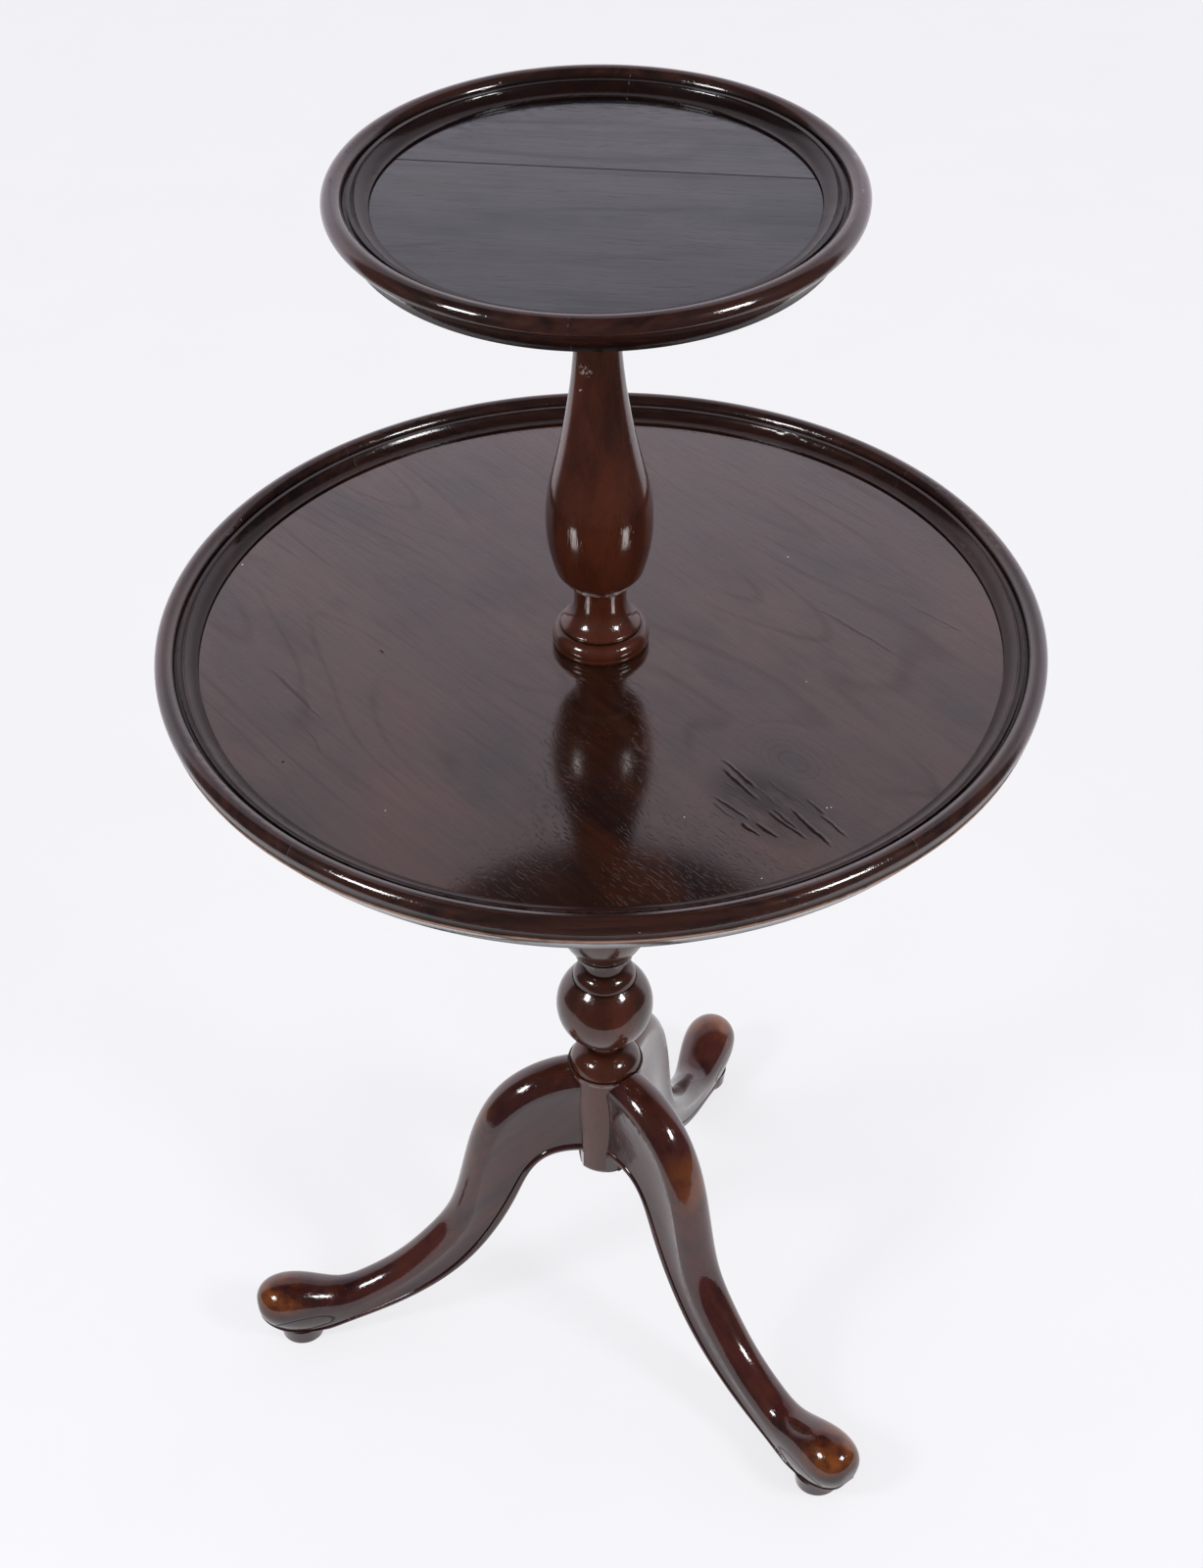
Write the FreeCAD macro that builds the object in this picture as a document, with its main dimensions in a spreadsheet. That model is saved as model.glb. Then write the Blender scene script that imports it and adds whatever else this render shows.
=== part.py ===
import FreeCAD, Part
import math
import os

import Sketcher

Vector = FreeCAD.Vector

# A two-tier revolving side table on a tripod, in millimetres.
# Origin on the floor, on the axis of the stem. +Z is up, and -Y is the front.

# Driving sizes: name, value, meaning
SIZES = [
    # Fits
    ("glue_clearance", 0.15, "gap left in every glued or screwed fit"),
    ("running_clearance", 0.3, "gap between a revolving tier and what carries it"),
    ("joint_gap", 0.4, "open line between two segments of a rim"),
    ("overrun", 5, "how far a cut runs past the face that it opens"),
    # Tripod: legs with pad feet
    ("leg_angle", 69.4, "direction of the back leg, in degrees from +X"),
    ("leg_thickness", 35, "thickness of the plank that a leg is sawn from"),
    ("leg_crown", 7, "how far the leg's crown stands above the hub's top"),
    ("leg_underside", 177.5, "height of the leg's underside at the hub, above the floor"),
    ("toe_radius", 278, "distance of the toe's tip from the axis"),
    ("pad_radius", 18, "radius of the disc under the toe"),
    ("pad_taper", 1.5, "how much narrower the disc is at the floor"),
    ("pad_height", 13, "height of the disc under the toe"),
    ("pad_inset", 33.3, "distance of the disc's centre behind the toe's tip"),
    ("tongue_neck", 11, "width of the dovetail tongue at the shoulder"),
    ("tongue_tail", 15, "width of the dovetail tongue at its tail"),
    ("tongue_depth", 10, "how far the tongue enters the hub"),
    ("tongue_stop", 12, "how far the tongue stops below the hub's top"),
    # Iron brace under the hub
    ("brace_thickness", 3.5, "thickness of the iron"),
    ("brace_arm_width", 10, "width of each arm"),
    ("brace_reach", 11, "how far an arm runs under the leg, past the leg's seat"),
    ("brace_screw_inset", 5.5, "distance of a screw from the end of its arm"),
    ("brace_screw_grip", 16, "length of a brace screw in the leg"),
    # Screws
    ("screw_head_radius", 3.5, "radius of a countersunk head"),
    ("screw_head_height", 2.4, "height of a countersunk head"),
    ("screw_radius", 2, "radius of the shank"),
    ("screw_tip", 5, "length of the pointed end"),
    ("screw_cover", 4, "wood left over a screw's point"),
    ("screw_slot_width", 0.9, "width of the driver's slot"),
    ("screw_slot_depth", 1, "depth of the driver's slot"),
    # Pillar, from its underside up
    ("hub_drop", 20.5, "how far the hub hangs below the legs' underside"),
    ("hub_radius", 27, "radius of the hub that holds the legs"),
    ("hub_rounding", 7, "rounded lower edge of the hub"),
    ("hub_wall", 87, "straight height of the hub above its rounding"),
    ("collar_radius", 28, "fillet above the hub"),
    ("collar_height", 5.5, "height of that fillet"),
    ("dome_radius", 26.5, "foot of the dome above the fillet"),
    ("dome_height", 15.5, "height of the dome"),
    ("pillar_neck_radius", 12.3, "neck between dome and ball"),
    ("pillar_neck_height", 7, "height of that neck"),
    ("ball_seat_radius", 15.8, "fillet under the ball"),
    ("ball_seat_height", 3, "height of that fillet"),
    ("ball_radius", 35.4, "largest radius of the ball"),
    ("ball_lower", 33.4, "height of the ball below its middle"),
    ("ball_upper", 26.6, "height of the ball above its middle"),
    ("ball_top_radius", 23.4, "where the upper dome cuts the ball"),
    ("cap_radius", 22.8, "foot of the dome above the ball"),
    ("cap_height", 11, "height of that dome"),
    ("waist_radius", 15.5, "waist between that dome and the ring"),
    ("waist_height", 9, "height of the waist"),
    ("pillar_ring_radius", 21, "ring under the pillar's baluster"),
    ("pillar_ring_bevel", 3, "bevel under the ring"),
    ("pillar_ring_height", 3, "edge of the ring"),
    ("pillar_foot_radius", 20, "baluster where it leaves the ring"),
    ("pillar_bulb_radius", 28.5, "baluster at the turn of its bulb"),
    ("pillar_bulb_rise", 12, "height from ring to that turn"),
    ("pillar_belly_radius", 38.5, "largest radius of the baluster"),
    ("pillar_belly_rise", 40, "height from the turn to the largest radius"),
    ("pillar_shoulder_radius", 33.5, "baluster where it starts to hollow"),
    ("pillar_shoulder_rise", 40, "height from the largest radius to there"),
    ("pillar_throat_radius", 17.5, "end of the hollow"),
    ("pillar_throat_rise", 87, "height of the hollow"),
    ("pillar_stalk_radius", 16.5, "narrowest part under the astragal"),
    ("pillar_stalk_rise", 24, "height of the stalk"),
    ("pillar_bead_radius", 21.5, "astragal under the capital"),
    ("pillar_bead_height", 9, "height of the astragal"),
    ("pillar_cove_radius", 37, "upper end of the capital's cove"),
    ("pillar_cove_rise", 25, "height of the cove"),
    ("pillar_capital_radius", 40, "flat that carries the lower tier"),
    ("pillar_capital_height", 7.8, "edge of the capital"),
    # Upper column, from its base up
    ("tenon_radius", 10, "tenon that is glued into the pillar"),
    ("tenon_length", 48, "length of that tenon"),
    ("journal_radius", 13.5, "journal that the lower tier turns on"),
    ("base_radius", 29.5, "column's base on the lower tier"),
    ("base_bulge_radius", 31.2, "largest radius of the base moulding"),
    ("base_lower", 4.4, "height of the base below its largest radius"),
    ("base_upper", 9.5, "height of the base above its largest radius"),
    ("base_top_radius", 26.5, "top of the base moulding"),
    ("bell_radius", 25.6, "lip of the bell above the base"),
    ("bell_lip", 3.5, "height of that lip"),
    ("bell_rise", 15, "height of the bell's hollow"),
    ("column_neck_radius", 17, "neck above the bell"),
    ("column_neck_height", 13.5, "height of the neck"),
    ("column_ring_radius", 21.9, "ring under the column's baluster"),
    ("column_ring_bevel", 3, "bevel under the ring"),
    ("column_ring_height", 3, "edge of the ring"),
    ("column_foot_radius", 20.8, "baluster where it leaves the ring"),
    ("column_bulb_radius", 28.6, "baluster at the turn of its bulb"),
    ("column_bulb_rise", 7, "height from ring to that turn"),
    ("column_belly_radius", 34.4, "largest radius of the baluster"),
    ("column_belly_rise", 37, "height from the turn to the largest radius"),
    ("column_shoulder_radius", 29.8, "baluster where it starts to hollow"),
    ("column_shoulder_rise", 34.5, "height from the largest radius to there"),
    ("column_throat_radius", 15.2, "end of the hollow"),
    ("column_throat_rise", 84.5, "height of the hollow"),
    ("column_stalk_radius", 13.9, "narrowest part under the astragal"),
    ("column_stalk_rise", 29, "height of the stalk"),
    ("column_bead_radius", 18, "astragal under the capital"),
    ("column_bead_height", 8, "height of the astragal"),
    ("column_cove_radius", 27, "upper end of the capital's cove"),
    ("column_cove_rise", 25, "height of the cove"),
    ("column_capital_radius", 29, "flat that carries the upper tier"),
    ("column_capital_height", 8.4, "edge of the capital"),
    ("spigot_radius", 10, "spigot that the upper tier turns on"),
    ("spigot_length", 15, "length of the spigot"),
    # Both trays
    ("torus_radius", 6.5, "round moulding at the outside of a rim"),
    ("dish_depth", 12.5, "height of a rim's top above the field"),
    ("quirk_width", 2, "groove inside the round moulding"),
    ("fillet_width", 2.5, "flat edge inside the groove"),
    ("fillet_rise", 2, "how far that edge stands over the groove"),
    ("cove_edge", 0.7, "step from that edge down to the cove"),
    ("cove_width", 8, "width of the hollow towards the field"),
    ("inner_step", 1.5, "height of a rim's inner edge over the field"),
    ("inner_ledge", 2, "width of that inner edge"),
    ("panel_lap", 16, "distance of a panel's edge from the rim's outside"),
    ("panel_rebate", 2, "depth of the rebate round a panel, which the rim sits in"),
    ("panel_gap", 0.6, "open line between a field and the rim round it"),
    # Lower tray
    ("lower_tray_radius", 290, "outside radius of the lower tray"),
    ("lower_panel_thickness", 12, "thickness of its panel"),
    ("lower_torus_drop", 9, "round moulding's lower edge, below its widest line"),
    ("lower_torus_inset", 3.2, "that lower edge, in from the outside"),
    ("lower_lip_width", 0.8, "ledge under the round moulding"),
    ("lower_lip_height", 1.4, "edge of that ledge"),
    ("lower_band_inset", 12.7, "lower edge of the band, in from the outside"),
    ("lower_band_drop", 18.2, "lower edge of the band, below the field"),
    ("lower_bearer_radius", 95, "boss under the lower panel"),
    ("lower_bearer_height", 20, "height of that boss"),
    ("lower_bearer_rounding", 11, "rounded lower edge of that boss"),
    ("lower_screw_circle", 74, "distance of that boss's screws from the axis"),
    ("lower_screw_angle", 10, "direction of its first screw, in degrees"),
    # Upper tray
    ("upper_tray_radius", 160, "outside radius of the upper tray"),
    ("upper_panel_thickness", 12, "thickness of its panel"),
    ("upper_torus_drop", 6.5, "round moulding's lower edge, below its widest line"),
    ("upper_torus_inset", 6, "that lower edge, in from the outside"),
    ("upper_lip_width", -0.8, "ledge under the round moulding, here a groove"),
    ("upper_lip_height", 1, "edge of that groove"),
    ("upper_band_inset", 14, "lower edge of the band, in from the outside"),
    ("upper_band_drop", 14.3, "lower edge of the band, below the field"),
    ("upper_bearer_radius", 70, "boss under the upper panel"),
    ("upper_bearer_height", 20, "height of that boss"),
    ("upper_bearer_rounding", 11, "rounded lower edge of that boss"),
    ("upper_screw_circle", 56, "distance of that boss's screws from the axis"),
    ("board_angle", -7.1, "direction of the glue line between the boards, in degrees"),
    ("board_joint", 39.7, "distance of the glue line behind the axis"),
]

# Rim segments: the angles, in degrees from +X, of the joints at their ends, and the name
LOWER_SEGMENT_ANGLES = [
    (39.4, 130, "lower_rim_segment_back"),
    (130, 229.8, "lower_rim_segment_left"),
    (229.8, 310, "lower_rim_segment_front"),
    (310, 399.4, "lower_rim_segment_right"),
]
UPPER_SEGMENT_ANGLES = [
    (-10.8, 81.5, "upper_rim_segment_back_right"),
    (81.5, 173, "upper_rim_segment_back_left"),
    (173, 264.4, "upper_rim_segment_front_left"),
    (264.4, 349.2, "upper_rim_segment_front_right"),
]

# Legs: direction, in degrees from the back leg, and name
LEG_ANGLES = [
    (0, "leg_back"),
    (120, "leg_left"),
    (240, "leg_right"),
]

# Cross-sections of a leg from the hub to the toe. The first four numbers place the
# underside and the crown: outward, as shares of the leg's reach, and upward, as shares
# of the rise above the pad of the underside or of the crown at the hub. The others are
# shares of the plank's thickness: half width at the bead, height of the bead, half width
# under the crown, rise of the crown, and how far the side swells out (or, below zero, is
# hollowed).
LEG_SECTION_SHARES = [
    (0.000, 1.000, 0.000, 1.000, 0.500, 0.22, 0.470, 0.40, -0.05),
    (0.087, 1.000, 0.091, 0.994, 0.500, 0.22, 0.470, 0.40, -0.05),
    (0.134, 0.955, 0.204, 0.935, 0.500, 0.22, 0.470, 0.40, -0.05),
    (0.200, 0.754, 0.338, 0.665, 0.500, 0.22, 0.470, 0.40, -0.05),
    (0.285, 0.496, 0.402, 0.420, 0.490, 0.21, 0.450, 0.40, -0.04),
    (0.363, 0.338, 0.474, 0.314, 0.480, 0.20, 0.440, 0.40, -0.04),
    (0.472, 0.198, 0.565, 0.224, 0.470, 0.18, 0.430, 0.40, -0.03),
    (0.619, 0.082, 0.674, 0.159, 0.460, 0.15, 0.430, 0.40, -0.01),
    (0.732, 0.021, 0.751, 0.141, 0.460, 0.12, 0.460, 0.42, 0.01),
    (0.810, -0.012, 0.817, 0.161, 0.480, 0.12, 0.540, 0.50, 0.03),
    (0.880, -0.012, 0.887, 0.180, 0.480, 0.12, 0.600, 0.58, 0.05),
    (0.938, 0.012, 0.950, 0.173, 0.400, 0.10, 0.570, 0.54, 0.05),
    (0.977, 0.050, 0.986, 0.148, 0.280, 0.07, 0.410, 0.40, 0.03),
    (0.995, 0.096, 1.000, 0.118, 0.120, 0.04, 0.180, 0.19, 0.01),
]
# A bead's points as shares of its height: inward and up for the foot, the widest line,
# the bottom of the groove above it and the lip where the side starts
BEAD_FOOT_SHARE = 0.5
BEAD_WIDEST_SHARE = 0.42
BEAD_GROOVE_SHARES = (0.42, 0.86)
BEAD_LIP_SHARES = (0.16, 1.0)

# Turns of the arcs of a section, in degrees, hollows below zero
QUARTER_ANGLE = 90
DOME_ANGLE = 75
BELL_ANGLE = -50
CAPITAL_ANGLE = -75
RIM_COVE_ANGLE = -60
LOWER_BAND_ANGLE = -20
UPPER_BAND_ANGLE = -40

doc = FreeCAD.newDocument("tiered_side_table")
sheet = doc.addObject("Spreadsheet::Sheet", "Sizes")
for row, (alias, value, meaning) in enumerate(SIZES, start=1):
    sheet.set("A%d" % row, meaning)
    sheet.set("B%d" % row, str(value))
    sheet.setAlias("B%d" % row, alias)
doc.recompute()

nodes = []


def size(text):
    """Value of a sum of named sizes, such as "hub_radius - hub_rounding"."""
    total = 0
    sign = 1
    for word in text.split():
        if word in ("+", "-"):
            sign = 1 if word == "+" else -1
        else:
            total += sign * sheet.get(word)
    return total


def bound(text):
    """The same sum, written as an expression on the sheet."""
    words = [word if word in ("+", "-") else "Sizes." + word for word in text.split()]
    return " ".join(words)


def node(item):
    """Keep an object as one of the pieces that are written out."""
    item.Label = item.Name
    nodes.append(item)
    return item


def origin_plane(body, role):
    """One of the planes of a body's own origin."""
    return next(feature for feature in body.Origin.OriginFeatures if feature.Role == role)


def raise_to(item, height, turn=0):
    """Place an object on the axis at a height that is a sum of sizes, turned about the axis."""
    item.Placement.Rotation = FreeCAD.Rotation(Vector(0, 0, 1), turn)
    item.setExpression("Placement.Base.z", bound(height))


class Outline:
    """Closed half section of a turned piece: corners at a radius, each a rise above the last."""

    def __init__(self, radius="", height=""):
        self.radii = [radius]
        self.rises = [height]
        self.turns = []

    def to(self, radius, rise="", turn=0):
        """Go on to a radius (empty: the axis), straight or by an arc that turns so many degrees."""
        self.radii.append(radius)
        self.rises.append(rise)
        self.turns.append(turn)
        return self

    def corners(self):
        """Places of the corners in the sketch."""
        height = 0
        places = []
        for radius, rise in zip(self.radii, self.rises):
            height += size(rise)
            places.append(Vector(size(radius), height, 0))
        return places

    def draw(self, body, name):
        """Draw the outline on the body's XZ plane, with every corner bound to the sheet."""
        sketch = body.newObject("Sketcher::SketchObject", name)
        sketch.AttachmentSupport = [(origin_plane(body, "XZ_Plane"), "")]
        sketch.MapMode = "FlatFace"
        places = self.corners()
        count = len(places)
        ends = []
        for index, turn in enumerate(self.turns + [0]):
            start = places[index]
            finish = places[(index + 1) % count]
            edge = sketch.addGeometry(curve(start, finish, turn))
            forward = (sketch.getPoint(edge, 1) - start).Length < (sketch.getPoint(edge, 2) - start).Length
            ends.append((edge, 1, 2) if forward else (edge, 2, 1))
        for index in range(count):
            edge, first, last = ends[index]
            following, opening, closing = ends[(index + 1) % count]
            sketch.addConstraint(Sketcher.Constraint("Coincident", edge, last, following, opening))
        for index in range(count):
            self.bind_corner(sketch, ends, places, index)
        for index, turn in enumerate(self.turns):
            if turn:
                self.bind_arc(sketch, ends[index][0], index, turn)
        return sketch

    def bind_corner(self, sketch, ends, places, index):
        """Bind one corner's radius to the axis and its rise to the corner before it."""
        edge, first, last = ends[index]
        if self.radii[index]:
            measure(sketch, ("DistanceX", -1, 1, edge, first), self.radii[index])
        else:
            sketch.addConstraint(Sketcher.Constraint("PointOnObject", edge, first, -2))
        before = ends[index - 1][:2] if index else (-1, 1)
        if index == 0 and not self.rises[0]:
            sketch.addConstraint(Sketcher.Constraint("PointOnObject", edge, first, -1))
        elif not self.rises[index]:
            sketch.addConstraint(Sketcher.Constraint("Horizontal", before[0]))
        elif self.rises[index].startswith("- "):
            measure(sketch, ("DistanceY", edge, first, *before), opposite(self.rises[index]))
        else:
            measure(sketch, ("DistanceY", *before, edge, first), self.rises[index])

    def bind_arc(self, sketch, edge, index, turn):
        """Bind an arc's radius to the chord between its two corners."""
        widening = "0"
        for text, sign in ((self.radii[index + 1], "+"), (self.radii[index], "-")):
            if text:
                widening += " %s (%s)" % (sign, bound(text))
        rise = bound(self.rises[index + 1]) or "0"
        chord_share = 1 / (2 * math.sin(math.radians(abs(turn)) / 2))
        radius = chord_share * (sketch.getPoint(edge, 1) - sketch.getPoint(edge, 2)).Length
        number = sketch.addConstraint(Sketcher.Constraint("Radius", edge, radius))
        sketch.setExpression("Constraints[%d]" % number,
                             "%.9f * sqrt((%s)^2 + (%s)^2)" % (chord_share, widening, rise))


def opposite(text):
    """The same sum with its signs changed."""
    swap = {"+": "-", "-": "+"}
    words = [swap.get(word, word) for word in text.split()]
    return " ".join(words[1:] if words[0] == "+" else words)


def measure(sketch, places, text):
    """Add a distance to a sketch and bind it to a sum of sizes."""
    number = sketch.addConstraint(Sketcher.Constraint(*places, size(text)))
    sketch.setExpression("Constraints[%d]" % number, bound(text))


def curve(start, finish, turn):
    """A line, or an arc that bulges to the right of its travel (to the left below zero)."""
    if not turn:
        return Part.LineSegment(start, finish)
    chord = finish - start
    right = Vector(chord.y, -chord.x, 0)
    middle = (start + finish) / 2 + right * (math.tan(math.radians(turn) / 4) / 2)
    return Part.ArcOfCircle(start, middle, finish)


def turned(name, outline, sweep=""):
    """A body turned about the axis, all round or through an angle given as an expression."""
    body = doc.addObject("PartDesign::Body", name)
    sketch = outline.draw(body, name + "_outline")
    turning = body.newObject("PartDesign::Revolution", name + "_turning")
    turning.Profile = sketch
    turning.ReferenceAxis = (sketch, ["V_Axis"])
    turning.Angle = 360
    if sweep:
        turning.setExpression("Angle", sweep)
    return body


def cut(name, base, tool):
    """A piece made by cutting one object from another."""
    item = doc.addObject("Part::Cut", name)
    item.Base = base
    item.Tool = tool
    return item


def shaped(name, shape):
    """An object that holds a shape worked out from the sheet."""
    item = doc.addObject("Part::Feature", name)
    item.Shape = shape
    return item


def around(shape, angles, height=0):
    """Copies of a shape turned about the axis to each angle and raised to a height."""
    copies = []
    for angle in angles:
        copy = shape.copy()
        copy.Placement = FreeCAD.Placement(
            Vector(0, 0, height), FreeCAD.Rotation(Vector(0, 0, 1), angle)).multiply(copy.Placement)
        copies.append(copy)
    return Part.makeCompound(copies)


# Heights, as sums of the sizes that stack up to them
PILLAR_UNDERSIDE = "leg_underside - hub_drop"
HUB_TOP = PILLAR_UNDERSIDE + " + hub_rounding + hub_wall"
LEG_TOP = HUB_TOP + " + leg_crown"


def baluster_rises(part):
    """Sum of the rises of a baluster, from its ring to the top of its capital."""
    steps = ("ring_bevel", "ring_height", "bulb_rise", "belly_rise", "shoulder_rise", "throat_rise",
             "stalk_rise", "bead_height", "cove_rise", "capital_height")
    return " + ".join(part + "_" + step for step in steps)


PILLAR_TOP = " + ".join([
    HUB_TOP, "collar_height + dome_height + pillar_neck_height + ball_seat_height + ball_lower",
    "ball_upper + cap_height + waist_height", baluster_rises("pillar")])
LOWER_PANEL_BASE = PILLAR_TOP + " + lower_bearer_height"
LOWER_FIELD = LOWER_PANEL_BASE + " + lower_panel_thickness"
COLUMN_TOP = " + ".join([
    LOWER_FIELD, "base_lower + base_upper + bell_lip + bell_rise + column_neck_height",
    baluster_rises("column")])
UPPER_PANEL_BASE = COLUMN_TOP + " + upper_bearer_height"
UPPER_FIELD = UPPER_PANEL_BASE + " + upper_panel_thickness"


def lean(run, rise):
    """Angle from the upright, in degrees, of a chord with a run and a rise that are sums of sizes."""
    return math.degrees(math.atan2(size(run), size(rise)))


def add_baluster(outline, part):
    """Add ring, baluster, astragal and capital to an outline that ends at the neck under the ring."""

    def named(text):
        return " ".join(word if word == "-" else part + "_" + word for word in text.split())

    # The belly's arcs stand upright at its widest line, and bulb and throat run on from them.
    belly_turn = 2 * lean(named("belly_radius - bulb_radius"), named("belly_rise"))
    bulb_turn = 2 * (lean(named("bulb_radius - foot_radius"), named("bulb_rise")) - belly_turn)
    shoulder_turn = 2 * lean(named("belly_radius - shoulder_radius"), named("shoulder_rise"))
    throat_turn = 2 * (lean(named("shoulder_radius - throat_radius"), named("throat_rise")) - shoulder_turn)
    for radius, rise, turn in [
            ("ring_radius", "ring_bevel", 0),
            ("ring_radius", "ring_height", 0),
            ("foot_radius", "", 0),
            ("bulb_radius", "bulb_rise", bulb_turn),
            ("belly_radius", "belly_rise", belly_turn),
            ("shoulder_radius", "shoulder_rise", shoulder_turn),
            ("throat_radius", "throat_rise", throat_turn),
            ("stalk_radius", "stalk_rise", 0),
            ("bead_radius", "", 0),
            ("bead_radius", "bead_height", QUARTER_ANGLE),
            ("stalk_radius", "", 0),
            ("cove_radius", "cove_rise", CAPITAL_ANGLE),
            ("capital_radius", "", 0),
            ("capital_radius", "capital_height", 0)]:
        outline.to(named(radius), named(rise), turn)


# Screws

def screw(length, grow=0):
    """Countersunk screw that points up from its head at zero; grown, it is the screw's own hole."""
    head = size("screw_head_radius") + grow
    shank = size("screw_radius") + grow
    neck = size("screw_head_height")
    profile = Part.makePolygon([
        Vector(0, 0, 0),
        Vector(head, 0, 0),
        Vector(shank, 0, neck),
        Vector(shank, 0, length - size("screw_tip") + grow),
        Vector(0, 0, length + grow),
        Vector(0, 0, 0),
    ])
    solid = Part.Face(profile).revolve(Vector(0, 0, 0), Vector(0, 0, 1), 360)
    if grow:
        return solid
    width = size("screw_slot_width")
    slot = Part.makeBox(2 * head, width, 2 * size("screw_slot_depth"),
                        Vector(-head, -width / 2, -size("screw_slot_depth")))
    return solid.cut(slot)


def screw_ring(distance, angles, base, length, grow=0):
    """Screws in a ring about the axis, with their heads at a height."""
    one = screw(length, grow)
    one.Placement = FreeCAD.Placement(Vector(distance, 0, 0), FreeCAD.Rotation())
    return around(one, angles, base)


# Legs

LEG_DIRECTION_ANGLES = [size("leg_angle") + turn for turn, name in LEG_ANGLES]


def seat_radius():
    """Distance from the axis of the flat on the hub that a leg's shoulder meets."""
    return math.sqrt(size("hub_radius") ** 2 - (size("leg_thickness") / 2) ** 2)


def leg_section(shares, grow=0):
    """One cross-section of a leg that points along +X: underside, beads, grooves, sides and crown."""
    low_out, low_up, high_out, high_up, bead_half, bead, crown_half, crown, swell = shares
    reach = size("toe_radius") - seat_radius()
    plank = size("leg_thickness")
    floor = size("pad_height")
    low = Vector(seat_radius() + low_out * reach, 0, floor + low_up * size("leg_underside - pad_height"))
    high = Vector(seat_radius() + high_out * reach, 0, floor + high_up * size(LEG_TOP + " - pad_height"))
    height = (high - low).Length
    up = (high - low) / height

    def place(side, level):
        return low + up * level + Vector(0, side, 0)

    half = bead_half * plank + grow
    bead = bead * plank
    foot = (half - BEAD_FOOT_SHARE * bead, -grow)
    widest = (half, BEAD_WIDEST_SHARE * bead)
    groove = (half - BEAD_GROOVE_SHARES[0] * bead, BEAD_GROOVE_SHARES[1] * bead)
    lip = (half - BEAD_LIP_SHARES[0] * bead, BEAD_LIP_SHARES[1] * bead)
    spring = (crown_half * plank + grow, height - crown * plank)
    flank = ((lip[0] + spring[0]) / 2 + swell * plank, (lip[1] + spring[1]) / 2)

    def mirrored(point):
        return place(-point[0], point[1])

    return Part.Wire([
        Part.LineSegment(mirrored(foot), place(*foot)).toShape(),
        Part.Arc(place(*foot), place(*widest), place(*groove)).toShape(),
        Part.LineSegment(place(*groove), place(*lip)).toShape(),
        Part.Arc(place(*lip), place(*flank), place(*spring)).toShape(),
        Part.Arc(place(*spring), place(0, height + grow), mirrored(spring)).toShape(),
        Part.Arc(mirrored(spring), mirrored(flank), mirrored(lip)).toShape(),
        Part.LineSegment(mirrored(lip), mirrored(groove)).toShape(),
        Part.Arc(mirrored(groove), mirrored(widest), mirrored(foot)).toShape(),
    ])


def dovetail(bottom, top, grow=0):
    """Dovetail tongue of a leg that points along +X, between two heights; grown, it is the slot."""
    shoulder = seat_radius()
    tail = shoulder - size("tongue_depth") - grow
    neck_half = size("tongue_neck") / 2 + grow
    tail_half = size("tongue_tail") / 2 + grow
    profile = Part.makePolygon([
        Vector(shoulder, -neck_half, bottom),
        Vector(shoulder, neck_half, bottom),
        Vector(tail, tail_half, bottom),
        Vector(tail, -tail_half, bottom),
        Vector(shoulder, -neck_half, bottom),
    ])
    return Part.Face(profile).extrude(Vector(0, 0, top - bottom))


def leg_solid():
    """Cabriole leg along +X with beaded lower edges, a pad foot and a dovetail tongue."""
    clearance = size("glue_clearance")
    floor_room = 2 * size("toe_radius")
    solid = Part.makeLoft([leg_section(shares) for shares in LEG_SECTION_SHARES], True)
    under_pad = Part.makeBox(floor_room, floor_room, size("pad_height"), Vector(0, -floor_room / 2, 0))
    solid = solid.cut(under_pad)
    pad = Part.makeCone(size("pad_radius - pad_taper"), size("pad_radius"), size("pad_height"),
                        Vector(size("toe_radius - pad_inset"), 0, 0))
    solid = solid.fuse(pad)
    collar = Part.makeCylinder(size("collar_radius") + clearance, size(LEG_TOP),
                               Vector(0, 0, size(HUB_TOP) - clearance))
    solid = solid.cut(collar)
    arm_half = size("brace_arm_width") / 2 + clearance
    arm_room = Part.makeBox(brace_end() + clearance, 2 * arm_half, size("hub_drop"),
                            Vector(0, -arm_half, size(PILLAR_UNDERSIDE)))
    solid = solid.cut(arm_room)
    tongue = dovetail(size("leg_underside"), size(HUB_TOP + " - tongue_stop"))
    solid = solid.fuse(tongue)
    screw_hole = screw_ring(brace_screw_distance(), [0], size("leg_underside - brace_thickness"),
                            brace_screw_length(), clearance)
    return solid.cut(screw_hole).removeSplitter()


# Iron brace

def brace_end():
    """End of a brace arm, as a distance from the axis."""
    return seat_radius() + size("brace_reach")


def brace_screw_distance():
    """Distance of a brace screw from the axis."""
    return brace_end() - size("brace_screw_inset")


def brace_screw_length():
    """Length of a brace screw."""
    return size("brace_thickness + brace_screw_grip")


def brace_solid():
    """Three-armed iron brace: a plate under the hub, and arms that climb the slots and run under the legs."""
    iron = size("brace_thickness")
    width = size("brace_arm_width")
    base = size(PILLAR_UNDERSIDE) - iron
    flange = size("leg_underside") - iron
    wall = seat_radius() - iron
    plate = Part.makeCylinder(size("hub_radius - hub_rounding"), iron, Vector(0, 0, base))
    sole = Part.makeBox(seat_radius(), width, iron, Vector(0, -width / 2, base))
    riser = Part.makeBox(iron, width, flange + iron - base, Vector(wall, -width / 2, base))
    foot = Part.makeBox(brace_end() - wall, width, iron, Vector(wall, -width / 2, flange))
    arm = sole.fuse([riser, foot])
    solid = plate.fuse(around(arm, LEG_DIRECTION_ANGLES).Solids)
    holes = screw_ring(brace_screw_distance(), LEG_DIRECTION_ANGLES, flange,
                       brace_screw_length(), size("glue_clearance"))
    return solid.cut(holes).removeSplitter()


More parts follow.
